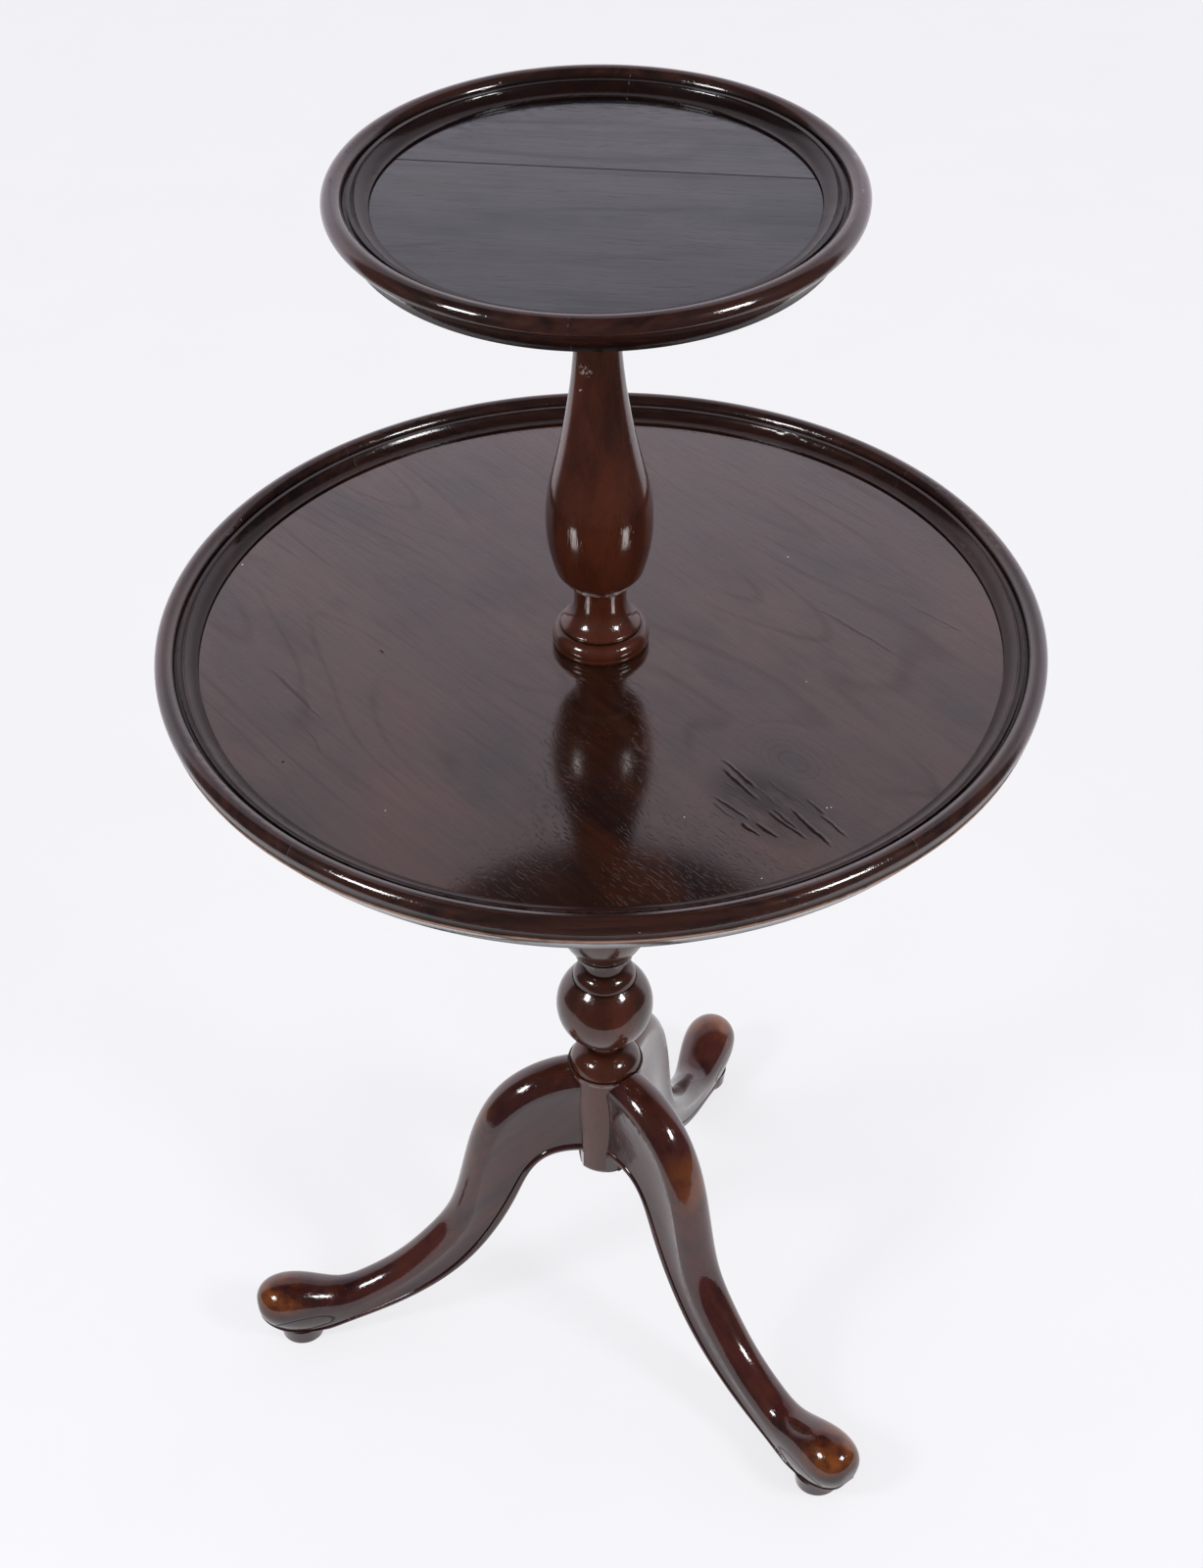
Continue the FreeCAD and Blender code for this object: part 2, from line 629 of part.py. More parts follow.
def build_tripod():
    """Pillar with its three leg seats, the legs and the iron brace with its screws."""
    outline = Outline()
    outline.to("hub_radius - hub_rounding")
    outline.to("hub_radius", "hub_rounding", QUARTER_ANGLE)
    outline.to("hub_radius", "hub_wall")
    outline.to("collar_radius")
    outline.to("collar_radius", "collar_height")
    outline.to("dome_radius")
    outline.to("pillar_neck_radius", "dome_height", DOME_ANGLE)
    outline.to("pillar_neck_radius", "pillar_neck_height")
    outline.to("ball_seat_radius")
    outline.to("ball_seat_radius", "ball_seat_height")
    outline.to("ball_radius", "ball_lower", 2 * lean("ball_radius - ball_seat_radius", "ball_lower"))
    outline.to("ball_top_radius", "ball_upper", 2 * lean("ball_radius - ball_top_radius", "ball_upper"))
    outline.to("cap_radius")
    outline.to("waist_radius", "cap_height", DOME_ANGLE)
    outline.to("waist_radius", "waist_height")
    add_baluster(outline, "pillar")
    outline.to("tenon_radius + glue_clearance")
    outline.to("tenon_radius + glue_clearance", "- tenon_length - overrun")
    outline.to("")
    pillar_turning = turned("pillar_turning", outline)
    raise_to(pillar_turning, PILLAR_UNDERSIDE, size("leg_angle"))

    clearance = size("glue_clearance")
    shoulder = leg_section(LEG_SECTION_SHARES[0], 2 * clearance)
    seat = Part.Face(shoulder).extrude(Vector(size("hub_radius"), 0, 0))
    hub_room = Part.makeCylinder(2 * size("hub_radius"), size(HUB_TOP))
    plank = size("leg_thickness") + 2 * clearance
    flat = Part.makeBox(size("hub_radius"), plank, size("hub_drop + overrun"),
                        Vector(seat_radius(), -plank / 2, size(PILLAR_UNDERSIDE + " - overrun")))
    slot_top = size(HUB_TOP + " - tongue_stop") + clearance
    slot = dovetail(size(PILLAR_UNDERSIDE + " - overrun"), slot_top, clearance)
    seats = shaped("leg_seats", around(slot.fuse([seat.common(hub_room), flat]), LEG_DIRECTION_ANGLES))
    node(cut("pillar", pillar_turning, seats))

    leg = leg_solid()
    for turn, name in LEG_ANGLES:
        item = shaped(name, leg)
        item.Placement = FreeCAD.Placement(
            Vector(0, 0, 0), FreeCAD.Rotation(Vector(0, 0, 1), size("leg_angle") + turn))
        node(item)

    node(shaped("leg_brace", brace_solid()))
    screws = screw_ring(brace_screw_distance(), LEG_DIRECTION_ANGLES,
                        size("leg_underside - brace_thickness"), brace_screw_length())
    node(shaped("leg_brace_screws", screws))


def build_column():
    """Upper column: tenon, journal, base, bell, baluster, capital and spigot."""
    outline = Outline()
    outline.to("tenon_radius")
    outline.to("tenon_radius", "tenon_length")
    outline.to("journal_radius")
    outline.to("journal_radius", "lower_bearer_height + lower_panel_thickness")
    outline.to("base_radius")
    outline.to("base_bulge_radius", "base_lower", QUARTER_ANGLE)
    outline.to("base_top_radius", "base_upper", QUARTER_ANGLE)
    outline.to("bell_radius")
    outline.to("bell_radius", "bell_lip", QUARTER_ANGLE)
    outline.to("column_neck_radius", "bell_rise", BELL_ANGLE)
    outline.to("column_neck_radius", "column_neck_height")
    add_baluster(outline, "column")
    outline.to("spigot_radius")
    outline.to("spigot_radius", "spigot_length")
    outline.to("")
    raise_to(node(turned("upper_column", outline)), PILLAR_TOP + " - tenon_length")


def bearer_outline(tray, bore, depth=""):
    """Half section of a boss under a panel, bored right through or to a depth."""
    radius = tray + "_bearer_radius"
    height = tray + "_bearer_height"
    rounding = tray + "_bearer_rounding"
    outline = Outline(bore)
    outline.to(radius + " - " + rounding)
    outline.to(radius, rounding, QUARTER_ANGLE)
    outline.to(radius, height + " - " + rounding)
    if depth:
        outline.to("")
        outline.to("", "- " + height + " + " + depth)
        outline.to(bore)
    else:
        outline.to(bore)
    return outline


def rim_inside(tray):
    """Inner edge of a rim, as a sum of sizes."""
    mouldings = " - torus_radius - torus_radius - quirk_width - fillet_width - cove_width - inner_ledge"
    return tray + "_tray_radius" + mouldings


def rim_outline(tray, band_turn):
    """Half section of a rim from its lower edge up the band, over the mouldings and down to the field."""
    outside = tray + "_tray_radius"
    torus_edge = outside + " - " + tray + "_torus_inset"
    lip = torus_edge + " + " + tray + "_lip_width"
    lip_base = tray + "_band_drop + dish_depth - torus_radius"
    lip_base += " - " + tray + "_torus_drop - " + tray + "_lip_height"
    torus_turn = 2 * lean(tray + "_torus_inset", tray + "_torus_drop")
    torus_inside = outside + " - torus_radius - torus_radius"
    quirk_inside = torus_inside + " - quirk_width"
    fillet_inside = quirk_inside + " - fillet_width"
    cove_inside = fillet_inside + " - cove_width"
    cove_drop = "- dish_depth + torus_radius - fillet_rise + cove_edge + inner_step"
    outline = Outline(outside + " - panel_lap", "- " + tray + "_band_drop")
    outline.to(outside + " - " + tray + "_band_inset")
    outline.to(lip, lip_base, band_turn)
    outline.to(lip, tray + "_lip_height")
    outline.to(torus_edge)
    outline.to(outside, tray + "_torus_drop", torus_turn)
    outline.to(outside + " - torus_radius", "torus_radius", QUARTER_ANGLE)
    outline.to(torus_inside, "- torus_radius", QUARTER_ANGLE)
    outline.to(quirk_inside)
    outline.to(quirk_inside, "fillet_rise")
    outline.to(fillet_inside)
    outline.to(fillet_inside, "- cove_edge")
    outline.to(cove_inside, cove_drop, RIM_COVE_ANGLE)
    outline.to(rim_inside(tray))
    outline.to(rim_inside(tray), "- inner_step - panel_rebate")
    outline.to(outside + " - panel_lap")
    return outline


def build_rim(tray, segments, field, band_turn):
    """Segments of a tray's rim, each swept from one joint to the next."""
    gap = "Sizes.joint_gap / Sizes.%s_tray_radius * 180 / pi" % tray
    for start, finish, name in segments:
        segment = turned(name, rim_outline(tray, band_turn), "%s - %s" % (finish - start, gap))
        raise_to(node(segment), field, start)


def build_lower_tier():
    """Lower panel on its bored boss, with the boss's screws and the rim."""
    bore = "journal_radius + running_clearance"
    boss = turned("lower_bearer_turning", bearer_outline("lower", bore))
    raise_to(boss, PILLAR_TOP)
    disc = Outline(bore)
    disc.to("lower_tray_radius - panel_lap - glue_clearance")
    disc.to("lower_tray_radius - panel_lap - glue_clearance", "lower_panel_thickness")
    disc.to(bore)
    panel = turned("lower_panel_turning", disc)
    raise_to(panel, LOWER_PANEL_BASE)
    sink_base = Vector(0, 0, size(LOWER_FIELD + " - running_clearance"))
    sink = Part.makeCylinder(
        size("base_bulge_radius + running_clearance"), size("running_clearance + overrun"), sink_base)
    field_cuts = [rebate("lower", LOWER_FIELD), sink]
    add_bearer("lower", boss, [("lower_panel", panel)], PILLAR_TOP, size("lower_screw_angle"), field_cuts)
    build_rim("lower", LOWER_SEGMENT_ANGLES, LOWER_FIELD, LOWER_BAND_ANGLE)


def rebate(tray, field):
    """Ring that is cut from the edge of a panel, where the rim sits."""
    height = size("panel_rebate + overrun")
    base = Vector(0, 0, size(field + " - panel_rebate"))
    outer = Part.makeCylinder(size(tray + "_tray_radius"), height, base)
    return outer.cut(Part.makeCylinder(size(rim_inside(tray) + " - panel_gap"), height, base))


def add_bearer(tray, boss, panels, base, first, field_cuts):
    """Cut a boss and the panels over it for four screws, shape the panels' field, and add the screws."""
    length = size(tray + "_bearer_height + " + tray + "_panel_thickness - screw_cover")
    circle = size(tray + "_screw_circle")
    angles = [first + quarter * QUARTER_ANGLE for quarter in range(4)]
    holes = screw_ring(circle, angles, size(base), length, size("glue_clearance"))
    node(cut(tray + "_bearer", boss, shaped(tray + "_bearer_holes", holes)))
    for name, item in panels:
        cuts = shaped(name + "_cuts", Part.makeCompound([holes] + field_cuts))
        node(cut(name, item, cuts))
    node(shaped(tray + "_bearer_screws", screw_ring(circle, angles, size(base), length)))


def board(name, side):
    """One of the two boards of the upper panel, behind (1) or before (-1) the glue line."""
    body = doc.addObject("PartDesign::Body", name)
    sketch = body.newObject("Sketcher::SketchObject", name + "_outline")
    sketch.AttachmentSupport = [(origin_plane(body, "XY_Plane"), "")]
    sketch.MapMode = "FlatFace"
    edge = "upper_tray_radius - panel_lap - glue_clearance"
    glue_line = "board_joint + joint_gap" if side > 0 else "board_joint"
    radius = size(edge)
    joint = size(glue_line)
    half = math.sqrt(radius ** 2 - joint ** 2)
    left = Vector(-half, joint, 0)
    right = Vector(half, joint, 0)
    rim = sketch.addGeometry(Part.ArcOfCircle(right, Vector(0, side * radius, 0), left))
    line = sketch.addGeometry(Part.LineSegment(left, right))
    opening, closing = (1, 2) if side > 0 else (2, 1)
    sketch.addConstraint(Sketcher.Constraint("Coincident", rim, 3, -1, 1))
    sketch.addConstraint(Sketcher.Constraint("Coincident", rim, closing, line, 1))
    sketch.addConstraint(Sketcher.Constraint("Coincident", rim, opening, line, 2))
    sketch.addConstraint(Sketcher.Constraint("Horizontal", line))
    measure(sketch, ("Radius", rim), edge)
    measure(sketch, ("DistanceY", -1, 1, line, 1), glue_line)
    pad = body.newObject("PartDesign::Pad", name + "_pad")
    pad.Profile = sketch
    pad.setExpression("Length", bound("upper_panel_thickness"))
    raise_to(body, UPPER_PANEL_BASE, size("board_angle"))
    return body


def build_upper_tier():
    """Two boards on a boss with a blind bore, the boss's screws and the rim."""
    bore = "spigot_radius + running_clearance"
    boss = turned("upper_bearer_turning", bearer_outline("upper", bore, "spigot_length + running_clearance"))
    raise_to(boss, COLUMN_TOP)
    boards = [
        ("upper_panel_front_board", board("front_board_pad", -1)),
        ("upper_panel_back_board", board("back_board_pad", 1)),
    ]
    add_bearer("upper", boss, boards, COLUMN_TOP, size("board_angle"), [rebate("upper", UPPER_FIELD)])
    build_rim("upper", UPPER_SEGMENT_ANGLES, UPPER_FIELD, UPPER_BAND_ANGLE)


def check():
    """Stop where an object failed or a piece has no valid solid."""
    for item in doc.Objects:
        if "Invalid" in item.State or "Error" in item.State:
            raise RuntimeError("%s failed to build" % item.Label)
    for item in nodes:
        if item.Shape.isNull() or not item.Shape.isValid() or not item.Shape.Solids:
            raise RuntimeError("%s has no valid solid" % item.Label)


build_tripod()
build_lower_tier()
build_column()
build_upper_tier()
doc.recompute()
check()
os.makedirs("parts", exist_ok=True)
for item in nodes:
    item.Shape.exportStep("parts/%s.step" % item.Label)
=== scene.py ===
import logging
import math
from dataclasses import dataclass, replace
from enum import Enum
from typing import NamedTuple, Optional, Sequence, Union

import bmesh
import bpy
from mathutils import Matrix, Vector


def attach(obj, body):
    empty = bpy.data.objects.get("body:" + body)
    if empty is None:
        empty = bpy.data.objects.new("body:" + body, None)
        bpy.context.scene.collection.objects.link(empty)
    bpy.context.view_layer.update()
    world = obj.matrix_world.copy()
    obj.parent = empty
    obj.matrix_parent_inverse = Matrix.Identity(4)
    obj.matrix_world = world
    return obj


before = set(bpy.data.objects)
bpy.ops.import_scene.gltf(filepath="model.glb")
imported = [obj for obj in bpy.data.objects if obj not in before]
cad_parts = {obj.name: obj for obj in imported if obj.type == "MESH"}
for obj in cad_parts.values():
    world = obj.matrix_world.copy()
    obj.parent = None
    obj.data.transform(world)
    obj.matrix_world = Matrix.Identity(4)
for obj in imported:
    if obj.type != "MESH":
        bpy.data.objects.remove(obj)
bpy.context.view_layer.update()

LOG = logging.getLogger("tiered_side_table")

# Half an oval's size along an axis that it doesn't depend on, in metres
FAR = 1000.0
# Half the length of the oval that draws a check, as a share of the check, and how much of it is full
STROKE_REACH_SHARE = 0.58
STROKE_FULL_SHARE = 0.68
# A step to another part of a noise, for a pattern that doesn't follow the first one, in metres
ELSEWHERE = (3.1, 1.7, 0.6)
# How near two corners of a node's loose triangles are when they are one, in metres
WELD = 0.00002
# Edges that turn by more than this stay sharp
ARRIS_ANGLE = math.radians(28.0)
# A quarter turn, in degrees
QUARTER = 90.0
# The turn that lays the grain upright, as Euler angles
UPRIGHT = (0.0, math.radians(-QUARTER), 0.0)
# The colour of dust, linear
DUST = (0.4, 0.38, 0.35)

Socket = bpy.types.NodeSocket
Feed = Union[Socket, float, Sequence[float]]
Colour = tuple[float, float, float]
Triple = tuple[float, float, float]


class Tier(Enum):
    """The bodies that turn on the stand."""

    LOWER = "lower_tier"
    UPPER = "upper_tier"


class Axis(Enum):
    """The measure along which a line of dirt or wear runs round a turned form."""

    HEIGHT = "height"
    RADIUS = "radius"


class Line(NamedTuple):
    """A thin ring on a turned form: where it lies and how far it reaches each way, in metres."""

    at: float
    half: float

    @property
    def start(self) -> float:
        """Gives where the ring starts."""
        return self.at - self.half

    @property
    def end(self) -> float:
        """Gives where the ring ends."""
        return self.at + self.half


class Spot(NamedTuple):
    """An oval patch in a finish's own plane: its centre and its half sizes, in metres."""

    x: float
    y: float
    half_x: float
    half_y: float


class Check(NamedTuple):
    """An open check in a board: its two ends, half its width, in metres, and how dark it is."""

    x_start: float
    y_start: float
    x_end: float
    y_end: float
    half: float
    dark: float


class Mask(NamedTuple):
    """A mask cut from a noise: its cells per metre, its range, its layers and the mask at both ends."""

    per_metre: Union[float, Triple]
    low: float
    high: float
    detail: float = 3.0
    rough: float = 0.55
    first: float = 0.0
    last: float = 1.0


class Turning(NamedTuple):
    """One turned piece: its node, its finish's name, its grain's origin and its marks, in metres.

    The creases with their painted shade, the rubbed edges with their painted highlight and the lines of
    dust go by height, and the scuffs by X and height.
    """

    node: str
    finish: str
    origin: Triple
    creases: tuple[float, ...]
    edges: tuple[Line, ...]
    dusty: tuple[Line, ...] = ()
    scuffs: tuple[Spot, ...] = ()


class Skin(NamedTuple):
    """What a finish's own marks leave: a colour, a height for the bump, lost polish and dull wood."""

    colour: Socket
    height: Optional[Socket] = None
    bare: Optional[Socket] = None
    dull: Optional[Socket] = None


class Nodes:
    """A node tree, with short calls for the nodes that the finishes and the room share."""

    def __init__(self, tree: bpy.types.NodeTree) -> None:
        """Takes a tree and adds its coordinates.

        Args:
            tree: the tree of a material or a world.
        """
        self.tree = tree
        self.coordinates = tree.nodes.new("ShaderNodeTexCoord")

    def feed(self, target: Socket, source: Feed) -> None:
        """Links a socket to another, or sets its value.

        Args:
            target: the input socket.
            source: an output socket, a number or a row of numbers.
        """
        if isinstance(source, bpy.types.NodeSocket):
            self.tree.links.new(source, target)
        else:
            target.default_value = source

    def math(self, operation: str, *values: Feed, clamp: bool = False) -> Socket:
        """Adds a Math node.

        Args:
            operation: the node's operation.
            values: its inputs in order.
            clamp: whether the result is kept from 0 to 1.

        Returns:
            The result's socket.
        """
        node = self.tree.nodes.new("ShaderNodeMath")
        node.operation = operation
        node.use_clamp = clamp
        for target, value in zip(node.inputs, values):
            self.feed(target, value)
        return node.outputs[0]

    def plus(self, first: Feed, second: Feed, clamp: bool = False) -> Socket:
        """Adds two numbers."""
        return self.math("ADD", first, second, clamp=clamp)

    def minus(self, first: Feed, second: Feed, clamp: bool = False) -> Socket:
        """Takes the second number from the first."""
        return self.math("SUBTRACT", first, second, clamp=clamp)

    def times(self, first: Feed, second: Feed, clamp: bool = False) -> Socket:
        """Multiplies two numbers."""
        return self.math("MULTIPLY", first, second, clamp=clamp)

    def most(self, first: Feed, second: Feed) -> Socket:
        """Gives the larger of two numbers."""
        return self.math("MAXIMUM", first, second)

    def vector(self, operation: str, *values: Feed) -> Socket:
        """Adds a Vector Math node.

        Args:
            operation: the node's operation.
            values: its inputs in order.

        Returns:
            The result's socket, a number for a length and a vector otherwise.
        """
        node = self.tree.nodes.new("ShaderNodeVectorMath")
        node.operation = operation
        for target, value in zip(node.inputs, values):
            self.feed(target, value)
        return node.outputs["Value" if operation == "LENGTH" else "Vector"]

    def place(self, origin: Triple, turn: Triple, unit: Triple = (1.0, 1.0, 1.0),
              source: Optional[Socket] = None) -> Socket:
        """Gives the surface's place in a frame of its own.

        Args:
            origin: the frame's origin, in metres.
            turn: the frame's turn, as Euler angles in radians.
            unit: the length of the frame's unit along each axis, in metres.
            source: the place it starts from, or the object's own if there is none.

        Returns:
            The place as a vector.
        """
        node = self.tree.nodes.new("ShaderNodeMapping")
        node.vector_type = "TEXTURE"
        self.feed(node.inputs["Vector"], source or self.coordinates.outputs["Object"])
        node.inputs["Location"].default_value = origin
        node.inputs["Rotation"].default_value = turn
        node.inputs["Scale"].default_value = unit
        return node.outputs["Vector"]

    def split(self, vector: Socket) -> tuple[Socket, Socket, Socket]:
        """Splits a vector into its three numbers."""
        node = self.tree.nodes.new("ShaderNodeSeparateXYZ")
        self.feed(node.inputs[0], vector)
        return node.outputs[0], node.outputs[1], node.outputs[2]

    def radius(self, place: Socket) -> Socket:
        """Gives the distance of a place from the upright axis."""
        return self.vector("LENGTH", self.vector("MULTIPLY", place, (1.0, 1.0, 0.0)))

    def noise(self, place: Socket, per_metre: Union[float, Triple], detail: float = 3.0,
              rough: float = 0.55) -> Socket:
        """Adds a Noise Texture, which may be stretched along the axes of its place.

        Args:
            place: the place it reads.
            per_metre: its cells per metre, the same all ways or one number for each axis.
            detail: how many finer layers it has.
            rough: how strong those layers are.

        Returns:
            The noise from 0 to 1.
        """
        node = self.tree.nodes.new("ShaderNodeTexNoise")
        stretch = (per_metre,) * 3 if isinstance(per_metre, float) else per_metre
        self.feed(node.inputs["Vector"], self.vector("MULTIPLY", place, stretch))
        node.inputs["Scale"].default_value = 1.0
        node.inputs["Detail"].default_value = detail
        node.inputs["Roughness"].default_value = rough
        return node.outputs[0]

    def cells(self, place: Socket, per_metre: float) -> tuple[Socket, Socket]:
        """Adds a Voronoi Texture.

        Args:
            place: the place it reads.
            per_metre: cells per metre.

        Returns:
            The distance to the nearest cell's point and the cell's own colour.
        """
        node = self.tree.nodes.new("ShaderNodeTexVoronoi")
        self.feed(node.inputs["Vector"], place)
        node.inputs["Scale"].default_value = per_metre
        return node.outputs["Distance"], node.outputs["Color"]

    def span(self, value: Feed, low: float, high: float, first: float = 0.0, last: float = 1.0,
             smooth: bool = True) -> Socket:
        """Adds a clamped Map Range node.

        Args:
            value: what is mapped.
            low: the value that gives first.
            high: the value that gives last.
            first: the result at low.
            last: the result at high.
            smooth: whether it eases in and out.

        Returns:
            The mapped value.
        """
        node = self.tree.nodes.new("ShaderNodeMapRange")
        node.interpolation_type = "SMOOTHSTEP" if smooth else "LINEAR"
        self.feed(node.inputs["Value"], value)
        for name, number in zip(("From Min", "From Max", "To Min", "To Max"), (low, high, first, last)):
            node.inputs[name].default_value = number
        return node.outputs[0]

    def fall(self, value: Feed, low: float, high: float) -> Socket:
        """Gives 1 up to the low value and 0 from the high one on."""
        return self.span(value, low, high, 1.0, 0.0)

    def mask(self, place: Socket, mask: Mask) -> Socket:
        """Cuts a mask from a noise.

        Args:
            place: the place it reads.
            mask: the noise and the range that is cut from it.

        Returns:
            The mask.
        """
        noise = self.noise(place, mask.per_metre, mask.detail, mask.rough)
        return self.span(noise, mask.low, mask.high, mask.first, mask.last)

    def mix(self, share: Feed, first: Feed, second: Feed, blend: str = "MIX") -> Socket:
        """Adds a colour Mix node.

        Args:
            share: how much of the second colour shows.
            first: the first colour.
            second: the second colour.
            blend: the blend type.

        Returns:
            The mixed colour.
        """
        node = self.tree.nodes.new("ShaderNodeMix")
        node.data_type = "RGBA"
        node.blend_type = blend
        for index, value in ((0, share), (6, first), (7, second)):
            if isinstance(value, tuple):
                value = (*value, 1.0)
            self.feed(node.inputs[index], value)
        return node.outputs[2]

    def ramp(self, share: Socket, stops: Sequence[tuple[float, Colour]]) -> Socket:
        """Adds a Color Ramp.

        Args:
            share: where on the ramp the surface is.
            stops: rows of place and colour.

        Returns:
            The colour.
        """
        node = self.tree.nodes.new("ShaderNodeValToRGB")
        self.feed(node.inputs[0], share)
        elements = node.color_ramp.elements
        elements[0].position, elements[1].position = stops[0][0], stops[-1][0]
        elements[0].color, elements[1].color = (*stops[0][1], 1.0), (*stops[-1][1], 1.0)
        for at, colour in stops[1:-1]:
            elements.new(at).color = (*colour, 1.0)
        return node.outputs["Color"]

    def lines(self, measure: Socket, rings: Sequence[Line]) -> Socket:
        """Gives a mask that is 1 on each ring and fades to 0 at its edges.

        Args:
            measure: the height or radius of the surface.
            rings: the rings, in rising order, none touching the next.

        Returns:
            The mask.
        """
        low = rings[0].at - 2.0 * rings[0].half
        reach = rings[-1].at + 2.0 * rings[-1].half - low
        share = self.math("DIVIDE", self.minus(measure, low), reach, clamp=True)
        black, white = (0.0, 0.0, 0.0), (1.0, 1.0, 1.0)
        stops = []
        for ring in rings:
            for at, tone in ((ring.start, black), (ring.at, white), (ring.end, black)):
                stops.append(((at - low) / reach, tone))
        return self.ramp(share, stops)

    def oval(self, x: Socket, y: Socket, spot: Spot, edge: float = 0.0) -> Socket:
        """Gives a mask of an oval patch with a soft edge.

        Args:
            x: the first measure of the surface.
            y: the second measure of the surface.
            spot: the patch.
            edge: the share of the patch that is full.

        Returns:
            The mask, 1 in the middle and 0 outside.
        """
        return self.fall(self.ring_measure(x, y, spot), edge, 1.0)

    def ring_measure(self, x: Socket, y: Socket, spot: Spot) -> Socket:
        """Gives how far out on an oval the surface is, with 1 on its edge."""
        across = self.math("DIVIDE", self.minus(x, spot.x), spot.half_x)
        along = self.math("DIVIDE", self.minus(y, spot.y), spot.half_y)
        return self.math("SQRT", self.plus(self.times(across, across), self.times(along, along)))

    def stroke(self, source: Socket, check: Check, aside: float, half: float) -> Socket:
        """Gives a mask of a long pointed oval along a check.

        Args:
            source: the place it reads.
            check: the check.
            aside: how far to the left of the check's run the oval lies, in metres.
            half: half the oval's width, in metres.

        Returns:
            The mask, 1 along the middle and 0 outside.
        """
        run, rise = check.x_end - check.x_start, check.y_end - check.y_start
        length = math.hypot(run, rise)
        middle = (0.5 * (check.x_start + check.x_end) - aside * rise / length,
                  0.5 * (check.y_start + check.y_end) + aside * run / length, 0.0)
        size = (STROKE_REACH_SHARE * length, half, FAR)
        local = self.place(middle, (0.0, 0.0, math.atan2(rise, run)), size, source)
        return self.fall(self.vector("LENGTH", local), STROKE_FULL_SHARE, 1.0)

    def hollows(self, reach: float) -> Socket:
        """Gives a mask of the piece's own hollows and inner corners.

        Args:
            reach: how far away a wall still makes a hollow, in metres.

        Returns:
            The mask, 1 in a deep corner and 0 in the open.
        """
        node = self.tree.nodes.new("ShaderNodeAmbientOcclusion")
        node.samples = 6
        node.only_local = True
        node.inputs["Distance"].default_value = reach
        return self.minus(1.0, node.outputs["AO"], clamp=True)

    def bump(self, height: Socket, depth: float, strength: float) -> Socket:
        """Adds a Bump node.

        Args:
            height: the height of the relief.
            depth: what a height of 1 is worth, in metres.
            strength: how strong the bump is.

        Returns:
            The normal.
        """
        node = self.tree.nodes.new("ShaderNodeBump")
        node.inputs["Distance"].default_value = depth
        node.inputs["Strength"].default_value = strength
        self.feed(node.inputs["Height"], height)
        return node.outputs["Normal"]


class Graph(Nodes):
    """The node tree of one finish."""

    def __init__(self, name: str) -> None:
        """Starts a material that has only its shader, its output and its coordinates.

        Args:
            name: the material's name.
        """
        self.material = bpy.data.materials.new(name)
        self.material.use_nodes = True
        tree = self.material.node_tree
        tree.nodes.clear()
        super().__init__(tree)
        output = tree.nodes.new("ShaderNodeOutputMaterial")
        self.shader = tree.nodes.new("ShaderNodeBsdfPrincipled")
        tree.links.new(self.shader.outputs["BSDF"], output.inputs["Surface"])


